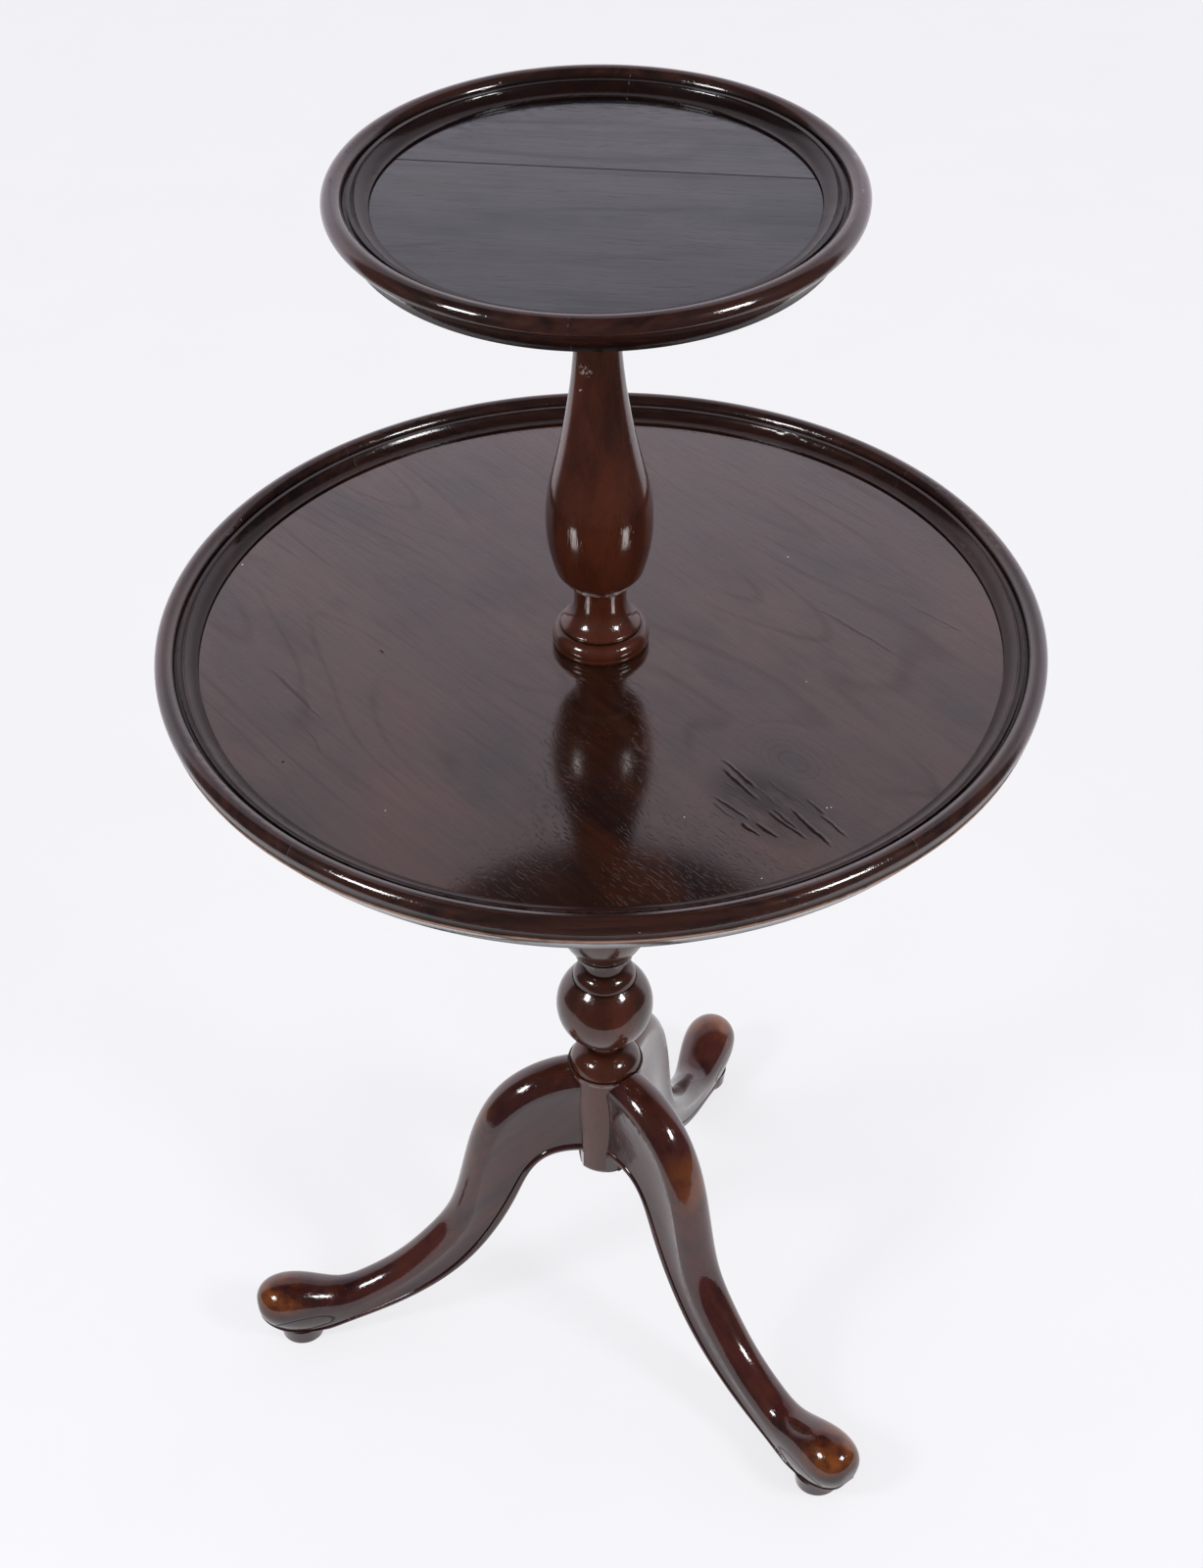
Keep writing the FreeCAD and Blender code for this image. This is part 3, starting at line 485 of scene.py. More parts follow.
@dataclass(frozen=True)
class Wood:
    """Polished mahogany: streaks and pores along the grain under a cloudy polish that shows wear.

    Attributes:
        name: the material's name.
        dark: the colour of the dark streaks, linear.
        light: the colour of the light streaks, linear.
        wear_and_glint: the colour where the polish has rubbed through or never was, linear, which on
            turned edges is also a painted highlight.
        turn: the turn that lays the local X axis along the grain, as Euler angles.
        origin: the origin of the grain's frame, in metres, which also tells one board from the next.
        streaks: noise cells per metre along and across the grain.
        bend: how far the streaks wander, in metres.
        wander: noise cells per metre of that wandering.
        contrast: where the streaks' noise is darkest and lightest.
        gloss: the lowest and highest roughness of the wood under the polish.
        polished: whether there is clear polish on top.
        polish_rough: the roughness of that polish.
        polish_ior: the index of refraction of that polish.
        film: how much of the surface that polish covers.
        sheen: how much the wood under the polish reflects.
        tint: the colour of that reflection.
        pores: noise cells per metre of the pores, along and across the grain.
        pore_range: where the pores' noise starts to be a pore and is one.
        pore_dark: how dark a pore is.
        pore_depth: how deep a pore is, in full reliefs.
        open_pores: how much of the polish is lost over a pore.
        clouds: noise cells per metre of the clouds in the polish.
        cloud_range: where the clouds' noise is glossiest and dullest.
        ripple: how wavy the polish is.
        hollow_shade_reach: how wide the painted shade in the hollows is, in metres.
        hollow_shade_range: how deep a hollow is where its painted shade starts and is full.
        hollow_shade: how dark that painted shade is, and how much of the polish in the hollows is lost.
        hollow_shade_rough: how much rougher the hollows are.
        dull_rough: the roughness of bare, dull wood.
        depth: what the full relief of polish and pores is worth, in metres.
        bump: how strong that relief is.
    """

    name: str
    dark: Colour
    light: Colour
    wear_and_glint: Colour = (0.14, 0.07, 0.04)
    turn: Triple = (0.0, 0.0, 0.0)
    origin: Triple = (0.0, 0.0, 0.0)
    streaks: tuple[float, float] = (5.0, 80.0)
    bend: float = 0.012
    wander: float = 7.0
    contrast: tuple[float, float] = (0.36, 0.64)
    gloss: tuple[float, float] = (0.35, 0.55)
    polished: bool = True
    polish_rough: float = 0.09
    polish_ior: float = 1.62
    film: float = 1.0
    sheen: float = 0.06
    tint: Colour = (1.0, 1.0, 1.0)
    pores: tuple[float, float] = (75.0, 1150.0)
    pore_range: tuple[float, float] = (0.55, 0.72)
    pore_dark: float = 0.3
    pore_depth: float = 0.2
    open_pores: float = 0.08
    clouds: Triple = (22.0, 30.0, 30.0)
    cloud_range: tuple[float, float] = (0.3, 0.7)
    ripple: float = 0.25
    hollow_shade_reach: float = 0.004
    hollow_shade_range: tuple[float, float] = (0.12, 0.62)
    hollow_shade: float = 0.5
    hollow_shade_rough: float = 0.3
    dull_rough: float = 0.6
    depth: float = 0.0004
    bump: float = 0.3

    def grain(self, graph: Graph, place: Socket) -> tuple[Socket, Socket]:
        """Draws the bare wood.

        Args:
            graph: the material being made.
            place: the place in the grain's frame.

        Returns:
            The wood's colour and its pores as a mask.
        """
        along, across = self.streaks
        wander = graph.noise(place, self.wander, detail=2.0)
        shift = graph.times(graph.minus(wander, 0.5), 2.0 * self.bend)
        bent = graph.vector("ADD", place, graph.vector("MULTIPLY", (0.0, 1.0, 1.0), shift))
        figure = graph.noise(bent, (along, across, across), detail=5.0, rough=0.6)
        broad = graph.noise(bent, (along * 0.5, across * 0.22, across * 0.22))
        blend = graph.plus(graph.times(figure, 0.6), graph.times(broad, 0.4))
        colour = graph.mix(graph.span(blend, *self.contrast), self.dark, self.light)
        long, thin = self.pores
        pores = graph.span(graph.noise(bent, (long, thin, thin), detail=1.5), *self.pore_range)
        return graph.mix(graph.times(pores, self.pore_dark), colour, self.shade(0.35)), pores

    def shade(self, share: float) -> Colour:
        """Gives the dark streaks' colour, dimmed."""
        return tuple(share * part for part in self.dark)

    def marks(self, graph: Graph, colour: Socket) -> Skin:
        """Adds what is special to this finish.

        Args:
            graph: the material being made.
            colour: the colour so far.

        Returns:
            The skin with its marks.
        """
        return Skin(colour)

    def build(self) -> bpy.types.Material:
        """Makes the material.

        Returns:
            The finished material.
        """
        graph = Graph(self.name)
        place = graph.place(self.origin, self.turn)
        colour, pores = self.grain(graph, place)
        skin = self.marks(graph, colour)
        clouds = graph.noise(place, self.clouds)
        # Painted shade: the colour darkens in the piece's own hollows and inner corners, found by ambient
        # occlusion; the polish there is also rougher and partly lost.
        hollows = graph.span(graph.hollows(self.hollow_shade_reach), *self.hollow_shade_range)
        colour = graph.mix(graph.times(hollows, self.hollow_shade), skin.colour, self.shade(0.12))
        rough = graph.span(clouds, *self.cloud_range, *self.gloss)
        rough = graph.plus(rough, graph.times(hollows, self.hollow_shade_rough), clamp=True)
        if skin.dull is not None:
            rough = graph.most(rough, graph.times(skin.dull, self.dull_rough))
        relief = graph.minus(graph.times(clouds, self.ripple), graph.times(pores, self.pore_depth))
        if skin.height is not None:
            relief = graph.plus(relief, skin.height)
        lost = graph.most(graph.times(pores, self.open_pores), graph.times(hollows, self.hollow_shade))
        if skin.bare is not None:
            lost = graph.most(lost, skin.bare)
        normal = graph.bump(relief, self.depth, self.bump)
        shader = graph.shader.inputs
        graph.feed(shader["Base Color"], colour)
        graph.feed(shader["Roughness"], rough)
        graph.feed(shader["Normal"], normal)
        graph.feed(shader["Coat Normal"], normal)
        shader["Specular IOR Level"].default_value = self.sheen
        shader["Specular Tint"].default_value = (*self.tint, 1.0)
        if self.polished:
            graph.feed(shader["Coat Weight"], graph.minus(self.film, lost, clamp=True))
            shader["Coat Roughness"].default_value = self.polish_rough
            shader["Coat IOR"].default_value = self.polish_ior
        return graph.material


@dataclass(frozen=True)
class TurnedWood(Wood):
    """Wood turned on a lathe, with painted shade in its creases, rubbed edges with a painted highlight,
    dust and scuffs.

    Attributes:
        axis: the measure that the rings lie along.
        creases: the rings that hold painted shade.
        crease_shade_breakup: how evenly that painted shade runs along a crease.
        crease_shade: how dark that painted shade is.
        edges: the rings that are rubbed bare and painted with a pale highlight.
        scratches: the scratches that break up such an edge.
        edge_wear_and_glint: how rubbed those edges are and how strong their painted highlight is.
        dusty: the rings that hold pale dust.
        lint: the patches of that dust.
        dust_share: how thick that dust is.
        scuffs: pale scuffs on the side that faces -Y, by X and height.
        scrapes: the scrapes that make up a scuff.
        scuff_full: the share of a scuff's oval that is full.
        scuff_share: how pale a scuff is.
    """

    axis: Axis = Axis.HEIGHT
    creases: tuple[Line, ...] = ()
    crease_shade_breakup: Mask = Mask(70.0, 0.25, 0.6, first=0.55)
    crease_shade: float = 0.85
    edges: tuple[Line, ...] = ()
    scratches: Mask = Mask(160.0, 0.36, 0.58, detail=4.0)
    edge_wear_and_glint: float = 0.8
    dusty: tuple[Line, ...] = ()
    lint: Mask = Mask(120.0, 0.4, 0.65, detail=4.0)
    dust_share: float = 0.7
    scuffs: tuple[Spot, ...] = ()
    scrapes: Mask = Mask(420.0, 0.5, 0.62, detail=4.0)
    scuff_full: float = 0.3
    scuff_share: float = 0.6

    def marks(self, graph: Graph, colour: Socket) -> Skin:
        """Adds the rubbed edges with their painted highlight, the painted shade in the creases, the dust
        and the scuffs. See Wood.marks.
        """
        plain = graph.coordinates.outputs["Object"]
        x, y, z = graph.split(plain)
        measure = graph.radius(plain) if self.axis is Axis.RADIUS else z
        bare = None
        # Rubbed edges: the polish is lost there, and the pale colour is a painted highlight.
        if self.edges:
            wear_and_glint = graph.times(graph.lines(measure, self.edges), graph.mask(plain, self.scratches))
            bare = graph.times(wear_and_glint, self.edge_wear_and_glint)
            colour = graph.mix(bare, colour, self.wear_and_glint)
        # Painted shade along the creases.
        if self.creases:
            hollow_shade = graph.times(graph.lines(measure, self.creases), graph.mask(plain, self.crease_shade_breakup))
            colour = graph.mix(graph.times(hollow_shade, self.crease_shade), colour, self.shade(0.1))
        if self.dusty:
            dust = graph.times(graph.lines(measure, self.dusty), graph.mask(plain, self.lint))
            colour = graph.mix(graph.times(dust, self.dust_share), colour, DUST)
        for spot in self.scuffs:
            scuff = graph.times(graph.mask(plain, self.scrapes), graph.math("LESS_THAN", y, 0.0))
            scuff = graph.times(scuff, graph.oval(x, z, spot, self.scuff_full))
            colour = graph.mix(graph.times(scuff, self.scuff_share), colour, DUST)
        return Skin(colour, bare=bare)


@dataclass(frozen=True)
class RimWood(TurnedWood):
    """Wood of a tray's rim: scratched on the round, with a painted highlight along the arris, a bare band
    below it and painted shade on the slope inside.

    Attributes:
        arris: the arris under the round, by height, along which a highlight is painted.
        arris_full: the share of that painted highlight that is full.
        arris_glint: how bright that painted highlight is.
        arris_highlight: the colour of that painted highlight, linear.
        glint_breakup: how evenly that painted highlight runs.
        band: the colour of the bare band below the arris, linear.
        band_fibre: the fibre in that band, as a factor on its colour.
        raw_share: how bare that band is.
        lap: how far below the arris the band is bare, in metres.
        fade: where the polish fades out above the arris, by height.
        scratch_colour: the colour of the scratches on the round, linear.
        scratch_marks: those scratches.
        scratch_groups: where those scratches lie together.
        round_line: the radius of the round's top.
        shoulder: how far out from that top the outside starts, in metres.
        slope: where the slope inside the round starts, in from that top, in metres.
        inner_shade: how dark the painted shade on that slope is.
        inner_lost: how much of that slope's polish is lost.
    """

    arris: Line = Line(0.0, 1.0)
    arris_full: float = 0.3
    arris_glint: float = 0.8
    arris_highlight: Colour = (0.34, 0.21, 0.16)
    glint_breakup: Mask = Mask(60.0, 0.3, 0.6, detail=5.0, first=0.35)
    band: Colour = (0.07, 0.025, 0.009)
    band_fibre: Mask = Mask((90.0, 90.0, 500.0), 0.3, 0.7, detail=4.0, first=0.75, last=1.15)
    raw_share: float = 1.0
    lap: float = 0.0008
    fade: Line = Line(0.0, 1.0)
    scratch_colour: Colour = (0.4, 0.3, 0.25)
    scratch_marks: Mask = Mask((220.0, 220.0, 900.0), 0.68, 0.74)
    scratch_groups: Mask = Mask(28.0, 0.5, 0.6)
    round_line: float = 0.0
    shoulder: float = 0.003
    slope: Line = Line(0.0055, 0.001)
    inner_shade: float = 0.0
    inner_lost: float = 0.5

    def marks(self, graph: Graph, colour: Socket) -> Skin:
        """Adds the bare band, the painted highlight on the arris, the scratches and the painted shade on
        the inner slope. See Wood.marks.
        """
        skin = super().marks(graph, colour)
        plain = graph.coordinates.outputs["Object"]
        height = graph.split(plain)[2]
        radius = graph.radius(plain)
        outside = graph.span(radius, self.round_line, self.round_line + self.shoulder)
        below = graph.fall(height, self.arris.at - self.lap, self.arris.at)
        below = graph.times(below, outside)
        # A painted highlight along the arris, outside the round.
        stripe = graph.math("ABSOLUTE", graph.minus(height, self.arris.at))
        stripe = graph.fall(stripe, self.arris_full * self.arris.half, self.arris.half)
        stripe = graph.times(graph.times(stripe, graph.mask(plain, self.glint_breakup)), outside)
        band = graph.mix(1.0, self.band, graph.mask(plain, self.band_fibre), blend="MULTIPLY")
        colour = graph.mix(graph.times(below, self.raw_share), skin.colour, band)
        stripe = graph.times(stripe, self.arris_glint * self.raw_share)
        colour = graph.mix(stripe, colour, self.arris_highlight)
        flecks = self.flecks(graph, plain, height)
        colour = graph.mix(graph.times(flecks, outside), colour, self.scratch_colour)
        faded = graph.span(height, self.fade.start, self.fade.end, self.raw_share, 0.0)
        bare = graph.most(graph.times(faded, outside), flecks)
        # Painted shade on the slope inside the round, where the polish is also partly lost.
        slope_line = self.round_line - self.slope.at
        inner = graph.fall(radius, slope_line - self.slope.half, slope_line + self.slope.half)
        colour = graph.mix(graph.times(inner, self.inner_shade), colour, self.shade(0.3))
        bare = graph.most(bare, graph.times(inner, self.inner_lost))
        if skin.bare is not None:
            bare = graph.most(bare, skin.bare)
        return Skin(colour, bare=bare)

    def flecks(self, graph: Graph, plain: Socket, height: Socket) -> Socket:
        """Gives a mask of the small pale scratches low on the round.

        Args:
            graph: the material being made.
            plain: the object's own place.
            height: the height of the surface.

        Returns:
            The mask.
        """
        zone = graph.math("ABSOLUTE", graph.minus(height, self.fade.at))
        zone = graph.fall(zone, self.fade.half, 2.0 * self.fade.half)
        marks = graph.times(graph.mask(plain, self.scratch_marks), graph.mask(plain, self.scratch_groups))
        return graph.times(marks, zone)


@dataclass(frozen=True)
class LegWood(Wood):
    """Carved wood of one leg, rubbed red on knee and toe, with a carved loop on the foot's sides.

    Attributes:
        azimuth: the leg's direction, in radians.
        patches: the rubbed patches, by distance from the axis and height.
        mottle: how evenly the patches are rubbed.
        crown_range: how far up a face looks where the leg's crown starts and is full.
        crown_worn: how rubbed the crown is outside the patches.
        loop: the carved loop, by distance from the axis and height.
        loop_line: half the width of the loop's groove, as a share of the loop.
        loop_side: how far from the leg's middle plane the loop fades in, in metres.
        loop_top: how far up a face looks where the loop fades and ends.
        loop_depth: how deep the groove is, in full reliefs.
        loop_dark: how dark the groove is.
        loop_lost: how much of the groove's polish is lost.
    """

    azimuth: float = 0.0
    patches: tuple[Spot, ...] = ()
    mottle: Mask = Mask(45.0, 0.32, 0.64, detail=4.0)
    crown_range: tuple[float, float] = (0.0, 0.75)
    crown_worn: float = 0.08
    loop: Spot = Spot(0.0, 0.0, 1.0, 1.0)
    loop_line: float = 0.14
    loop_side: Line = Line(0.01, 0.002)
    loop_top: tuple[float, float] = (0.2, 0.6)
    loop_depth: float = 3.0
    loop_dark: float = 0.7
    loop_lost: float = 0.6

    def marks(self, graph: Graph, colour: Socket) -> Skin:
        """Adds the rubbed patches and the carved loop. See Wood.marks."""
        out, side, up = graph.split(graph.place((0.0, 0.0, 0.0), (0.0, 0.0, self.azimuth)))
        plain = graph.coordinates.outputs["Object"]
        facing = graph.split(graph.coordinates.outputs["Normal"])[2]
        crown = graph.span(facing, *self.crown_range)
        rubbed = graph.times(crown, self.crown_worn)
        for patch in self.patches:
            rubbed = graph.most(rubbed, graph.times(graph.oval(out, up, patch), crown))
        colour = graph.mix(graph.times(rubbed, graph.mask(plain, self.mottle)), colour, self.wear_and_glint)
        off = graph.math("ABSOLUTE", graph.minus(graph.ring_measure(out, up, self.loop), 1.0))
        groove = graph.fall(off, 0.0, self.loop_line)
        aside = graph.math("ABSOLUTE", side)
        groove = graph.times(groove, graph.span(aside, self.loop_side.start, self.loop_side.end))
        groove = graph.times(groove, graph.fall(facing, *self.loop_top))
        colour = graph.mix(graph.times(groove, self.loop_dark), colour, self.shade(0.15))
        height = graph.times(groove, -self.loop_depth)
        return Skin(colour, height, graph.times(groove, self.loop_lost))


@dataclass(frozen=True)
class FieldWood(Wood):
    """The broad face of a tray's board, with open checks, nicks, a milky film on the polish with painted
    sheen, and dust.

    Attributes:
        warm: the colour of the red patches, linear.
        red: those patches.
        cool: the colour of the blue-grey smudges, linear.
        smudge: those smudges.
        patch_share: how strong red patches and smudges are.
        smudge_lost: how much of a smudge's polish is lost.
        rings: how many growth lines the figure has.
        swell: noise cells per metre of the swell that the growth lines follow.
        ring_half: half a growth line's width, as a share of the step to the next.
        ring_dark: how dark growth lines and fibres are.
        ring_patch: where the growth lines show.
        ring_lost: how much of a growth line's polish is lost.
        fibre: the fine fibres.
        fibre_lost: how much of a fibre's polish is lost.
        knot: the place that the growth lines swirl round, in the grain's frame.
        knot_swirl: how far the growth lines bend there, from 0 to 1.
        stain: the grey patch round the checks, in the grain's frame.
        stain_full: the share of that patch's oval that is full.
        stain_share: how grey that patch is.
        stain_cloud: how evenly that patch is grey.
        stain_lost: how much of that patch's polish is lost.
        checks: the open checks, in the object's own plane.
        waver: how far the checks wander along the object's axes, in metres.
        wave: noise cells per metre of that wandering.
        gap_width: how much wider a check is drawn than it is given.
        gap_dark: how dark a check is.
        lip_highlight: the colour of the painted highlight on the flank beside a check, linear.
        lip_aside: how far beside a check that flank lies, in halves of its width.
        lip_share: how bright that painted highlight is.
        seam: the dark glue line between two boards, across the grain from the object's origin.
        seam_dark: how dark that line is.
        seam_lost: how much of that line's polish is lost.
        specks: single specks of dust, in the grain's frame.
        nicks: small dark marks, in the grain's frame.
        bloom_and_sheen: the colour of the milky film that lies on the polish, whose streaks also stand in
            for a painted reflection, linear.
        haze_and_sheen: how much of that film and painted reflection shows.
        haze_and_sheen_streaks: the streaks of that film and painted reflection.
        dust: the share of cells that hold a speck of dust.
        dust_cells: those cells per metre.
        dust_size: where a speck starts to fade and where it ends, in cells.
        dust_pale: how pale a speck is.
        under_worn: how bare the underside is.
    """

    warm: Colour = (0.04, 0.015, 0.008)
    red: Mask = Mask((7.0, 13.0, 13.0), 0.42, 0.68, detail=4.0)
    cool: Colour = (0.006, 0.006, 0.0075)
    smudge: Mask = Mask((9.0, 16.0, 16.0), 0.46, 0.7, detail=4.0, rough=0.6)
    patch_share: float = 0.85
    smudge_lost: float = 0.12
    rings: float = 30.0
    swell: Triple = (1.3, 6.5, 6.5)
    ring_half: float = 0.15
    ring_dark: float = 0.3
    ring_patch: Mask = Mask(6.0, 0.45, 0.62, first=0.08)
    ring_lost: float = 0.15
    fibre: Mask = Mask((14.0, 420.0, 420.0), 0.4, 0.65, detail=4.0, rough=0.6)
    fibre_lost: float = 0.08
    knot: Optional[Spot] = None
    knot_swirl: float = 0.2
    stain: Optional[Spot] = None
    stain_full: float = 0.3
    stain_share: float = 0.95
    stain_cloud: Mask = Mask((25.0, 60.0, 60.0), 0.22, 0.55, detail=4.0)
    stain_lost: float = 0.48
    checks: tuple[Check, ...] = ()
    waver: Triple = (0.004, 0.003, 0.0)
    wave: Triple = (60.0, 120.0, 120.0)
    gap_width: float = 1.15
    gap_dark: float = 0.96
    lip_highlight: Colour = (0.045, 0.042, 0.044)
    lip_aside: float = 1.6
    lip_share: float = 0.6
    seam: Optional[Line] = None
    seam_dark: float = 0.9
    seam_lost: float = 0.75
    specks: tuple[Spot, ...] = ()
    nicks: tuple[Spot, ...] = ()
    bloom_and_sheen: Colour = (0.03, 0.031, 0.036)
    haze_and_sheen: float = 0.0
    haze_and_sheen_streaks: Mask = Mask((5.0, 55.0, 55.0), 0.38, 0.66, detail=5.0, rough=0.65)
    dust: float = 0.15
    dust_cells: float = 26.0
    dust_size: tuple[float, float] = (0.012, 0.024)
    dust_pale: float = 0.45
    under_worn: float = 0.4

    def figure(self, graph: Graph, colour: Socket, place: Socket) -> Skin:
        """Adds red patches, blue-grey smudges, growth lines and fibres.

        Args:
            graph: the material being made.
            colour: the colour so far.
            place: the place in the grain's frame.

        Returns:
            The skin with its figure.
        """
        aside = graph.vector("ADD", place, ELSEWHERE)
        red = graph.mask(aside, self.red)
        colour = graph.mix(graph.times(red, self.patch_share), colour, self.warm)
        smudge = graph.mask(place, self.smudge)
        swell = graph.noise(aside, self.swell, detail=1.5, rough=0.4)
        patch = graph.mask(aside, self.ring_patch)
        if self.knot is not None:
            along, across, _ = graph.split(place)
            swirl = graph.oval(along, across, self.knot)
            swell = graph.plus(swell, graph.times(swirl, self.knot_swirl))
            patch = graph.most(patch, graph.times(swirl, 1.5, clamp=True))
            smudge = graph.most(smudge, graph.math("POWER", swirl, 2.0))
        colour = graph.mix(graph.times(smudge, self.patch_share), colour, self.cool)
        turns = graph.math("FRACT", graph.times(swell, self.rings))
        off = graph.math("ABSOLUTE", graph.minus(turns, 0.5))
        line = graph.times(graph.fall(off, 0.0, self.ring_half), patch)
        fibre = graph.mask(place, self.fibre)
        colour = graph.mix(graph.times(graph.plus(line, fibre), self.ring_dark), colour, self.shade(0.5))
        lost = graph.plus(graph.times(line, self.ring_lost), graph.times(fibre, self.fibre_lost))
        return Skin(colour, bare=graph.plus(lost, graph.times(smudge, self.smudge_lost)))

    def torn(self, graph: Graph, colour: Socket, place: Socket) -> Skin:
        """Adds the open checks, each dark with a painted highlight on the flank on one side.

        Args:
            graph: the material being made.
            colour: the colour so far.
            place: the place in the grain's frame.

        Returns:
            The skin with the checks.
        """
        plain = graph.coordinates.outputs["Object"]
        wave = graph.minus(graph.noise(place, self.wave), 0.5)
        source = graph.vector("ADD", plain, graph.vector("MULTIPLY", self.waver, wave))
        gaps, flanks = None, None
        for check in self.checks:
            gap = graph.stroke(source, check, 0.0, self.gap_width * check.half)
            gap = graph.times(gap, check.dark)
            flank = graph.stroke(source, check, self.lip_aside * check.half, check.half)
            flank = graph.times(flank, check.dark)
            gaps = gap if gaps is None else graph.most(gaps, gap)
            flanks = flank if flanks is None else graph.most(flanks, flank)
        # The flank beside each check gets a painted highlight.
        colour = graph.mix(graph.times(flanks, self.lip_share), colour, self.lip_highlight)
        colour = graph.mix(graph.times(gaps, self.gap_dark), colour, self.shade(0.2))
        return Skin(colour, bare=gaps)

    def marks(self, graph: Graph, colour: Socket) -> Skin:
        """Adds the milky film with its painted reflection, the stain, the checks, the nicks, the dust and
        the underside. See Wood.marks.
        """
        place = graph.place(self.origin, self.turn)
        along, across, _ = graph.split(place)
        skin = self.figure(graph, colour, place)
        colour, bare = skin.colour, skin.bare
        # A milky film on the polish, in streaks that also stand in for a painted reflection.
        if self.haze_and_sheen:
            streaks = graph.mask(place, self.haze_and_sheen_streaks)
            colour = graph.mix(graph.times(streaks, self.haze_and_sheen), colour, self.bloom_and_sheen)
        if self.stain is not None:
            cloud = graph.mask(place, self.stain_cloud)
            grey = graph.times(graph.oval(along, across, self.stain, self.stain_full), cloud)
            colour = graph.mix(graph.times(grey, self.stain_share), colour, self.cool)
            bare = graph.most(bare, graph.times(grey, self.stain_lost))
        if self.checks:
            torn = self.torn(graph, colour, place)
            colour, bare = torn.colour, graph.most(bare, torn.bare)
        if self.seam is not None:
            from_middle = graph.split(graph.place((0.0, 0.0, 0.0), self.turn))[1]
            joint = graph.lines(from_middle, (self.seam,))
            colour = graph.mix(graph.times(joint, self.seam_dark), colour, self.shade(0.3))
            bare = graph.most(bare, graph.times(joint, self.seam_lost))
        for spot in self.nicks:
            nick = graph.oval(along, across, spot, 0.4)
            colour = graph.mix(nick, colour, self.shade(0.15))
            bare = graph.most(bare, nick)
        for spot in self.specks:
            colour = graph.mix(graph.oval(along, across, spot, 0.5), colour, DUST)
        distance, tint = graph.cells(place, self.dust_cells)
        chosen = graph.math("LESS_THAN", graph.split(tint)[0], self.dust)
        speck = graph.times(chosen, graph.span(distance, *self.dust_size, self.dust_pale, 0.0))
        colour = graph.mix(speck, colour, DUST)
        under = graph.math("LESS_THAN", graph.split(graph.coordinates.outputs["Normal"])[2], -0.5)
        colour = graph.mix(graph.times(under, self.under_worn), colour, self.wear_and_glint)
        return Skin(colour, bare=graph.most(bare, under), dull=under)


@dataclass(frozen=True)
class Metal:
    """Metal with dulled, blotchy skin.

    Attributes:
        name: the material's name.
        bright: the colour of the bare metal, linear.
        dull: the colour of its skin, linear.
        gloss: the lowest and highest roughness.
        gloss_range: where the skin's noise is glossiest and dullest.
        metallic: how metallic the surface is.
        grit: noise cells per metre of the skin.
        grit_fine: how many fine cells there are to one of those.
        blotches: where the skin's noise is bare metal and full skin.
        depth: what its full relief is worth, in metres.
        bump: how strong that relief is.
    """

    name: str
    bright: Colour
    dull: Colour
    gloss: tuple[float, float]
    metallic: float
    grit: float
    grit_fine: float = 9.0
    blotches: tuple[float, float] = (0.35, 0.65)
    gloss_range: tuple[float, float] = (0.3, 0.7)
    depth: float = 0.0003
    bump: float = 0.4

    def build(self) -> bpy.types.Material:
        """Makes the material.

        Returns:
            The finished material.
        """
        graph = Graph(self.name)
        plain = graph.coordinates.outputs["Object"]
        blotch = graph.noise(plain, self.grit, detail=6.0, rough=0.65)
        fine = graph.noise(plain, self.grit_fine * self.grit, detail=2.0)
        shader = graph.shader.inputs
        skin = graph.span(blotch, *self.blotches)
        graph.feed(shader["Base Color"], graph.mix(skin, self.bright, self.dull))
        graph.feed(shader["Roughness"], graph.span(blotch, *self.gloss_range, *self.gloss))
        graph.feed(shader["Normal"], graph.bump(graph.plus(blotch, fine), self.depth, self.bump))
        shader["Metallic"].default_value = self.metallic
        return graph.material


class Assembly:
    """A sub-assembly that dresses CAD nodes and may add pieces to them."""

    def dress(self, node: str, material: bpy.types.Material) -> None:
        """Gives a CAD node a finish and smooth shading across its shallow edges.

        Args:
            node: the node's name.
            material: its finish.
        """
        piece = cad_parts[node]
        piece.data.materials.clear()
        piece.data.materials.append(material)
        for face in piece.data.polygons:
            face.use_smooth = True
        weld = piece.modifiers.new("join_triangles", "WELD")
        weld.merge_threshold = WELD
        split = piece.modifiers.new("keep_arrises", "EDGE_SPLIT")
        split.split_angle = ARRIS_ANGLE
        LOG.info("%s: %s", node, material.name)


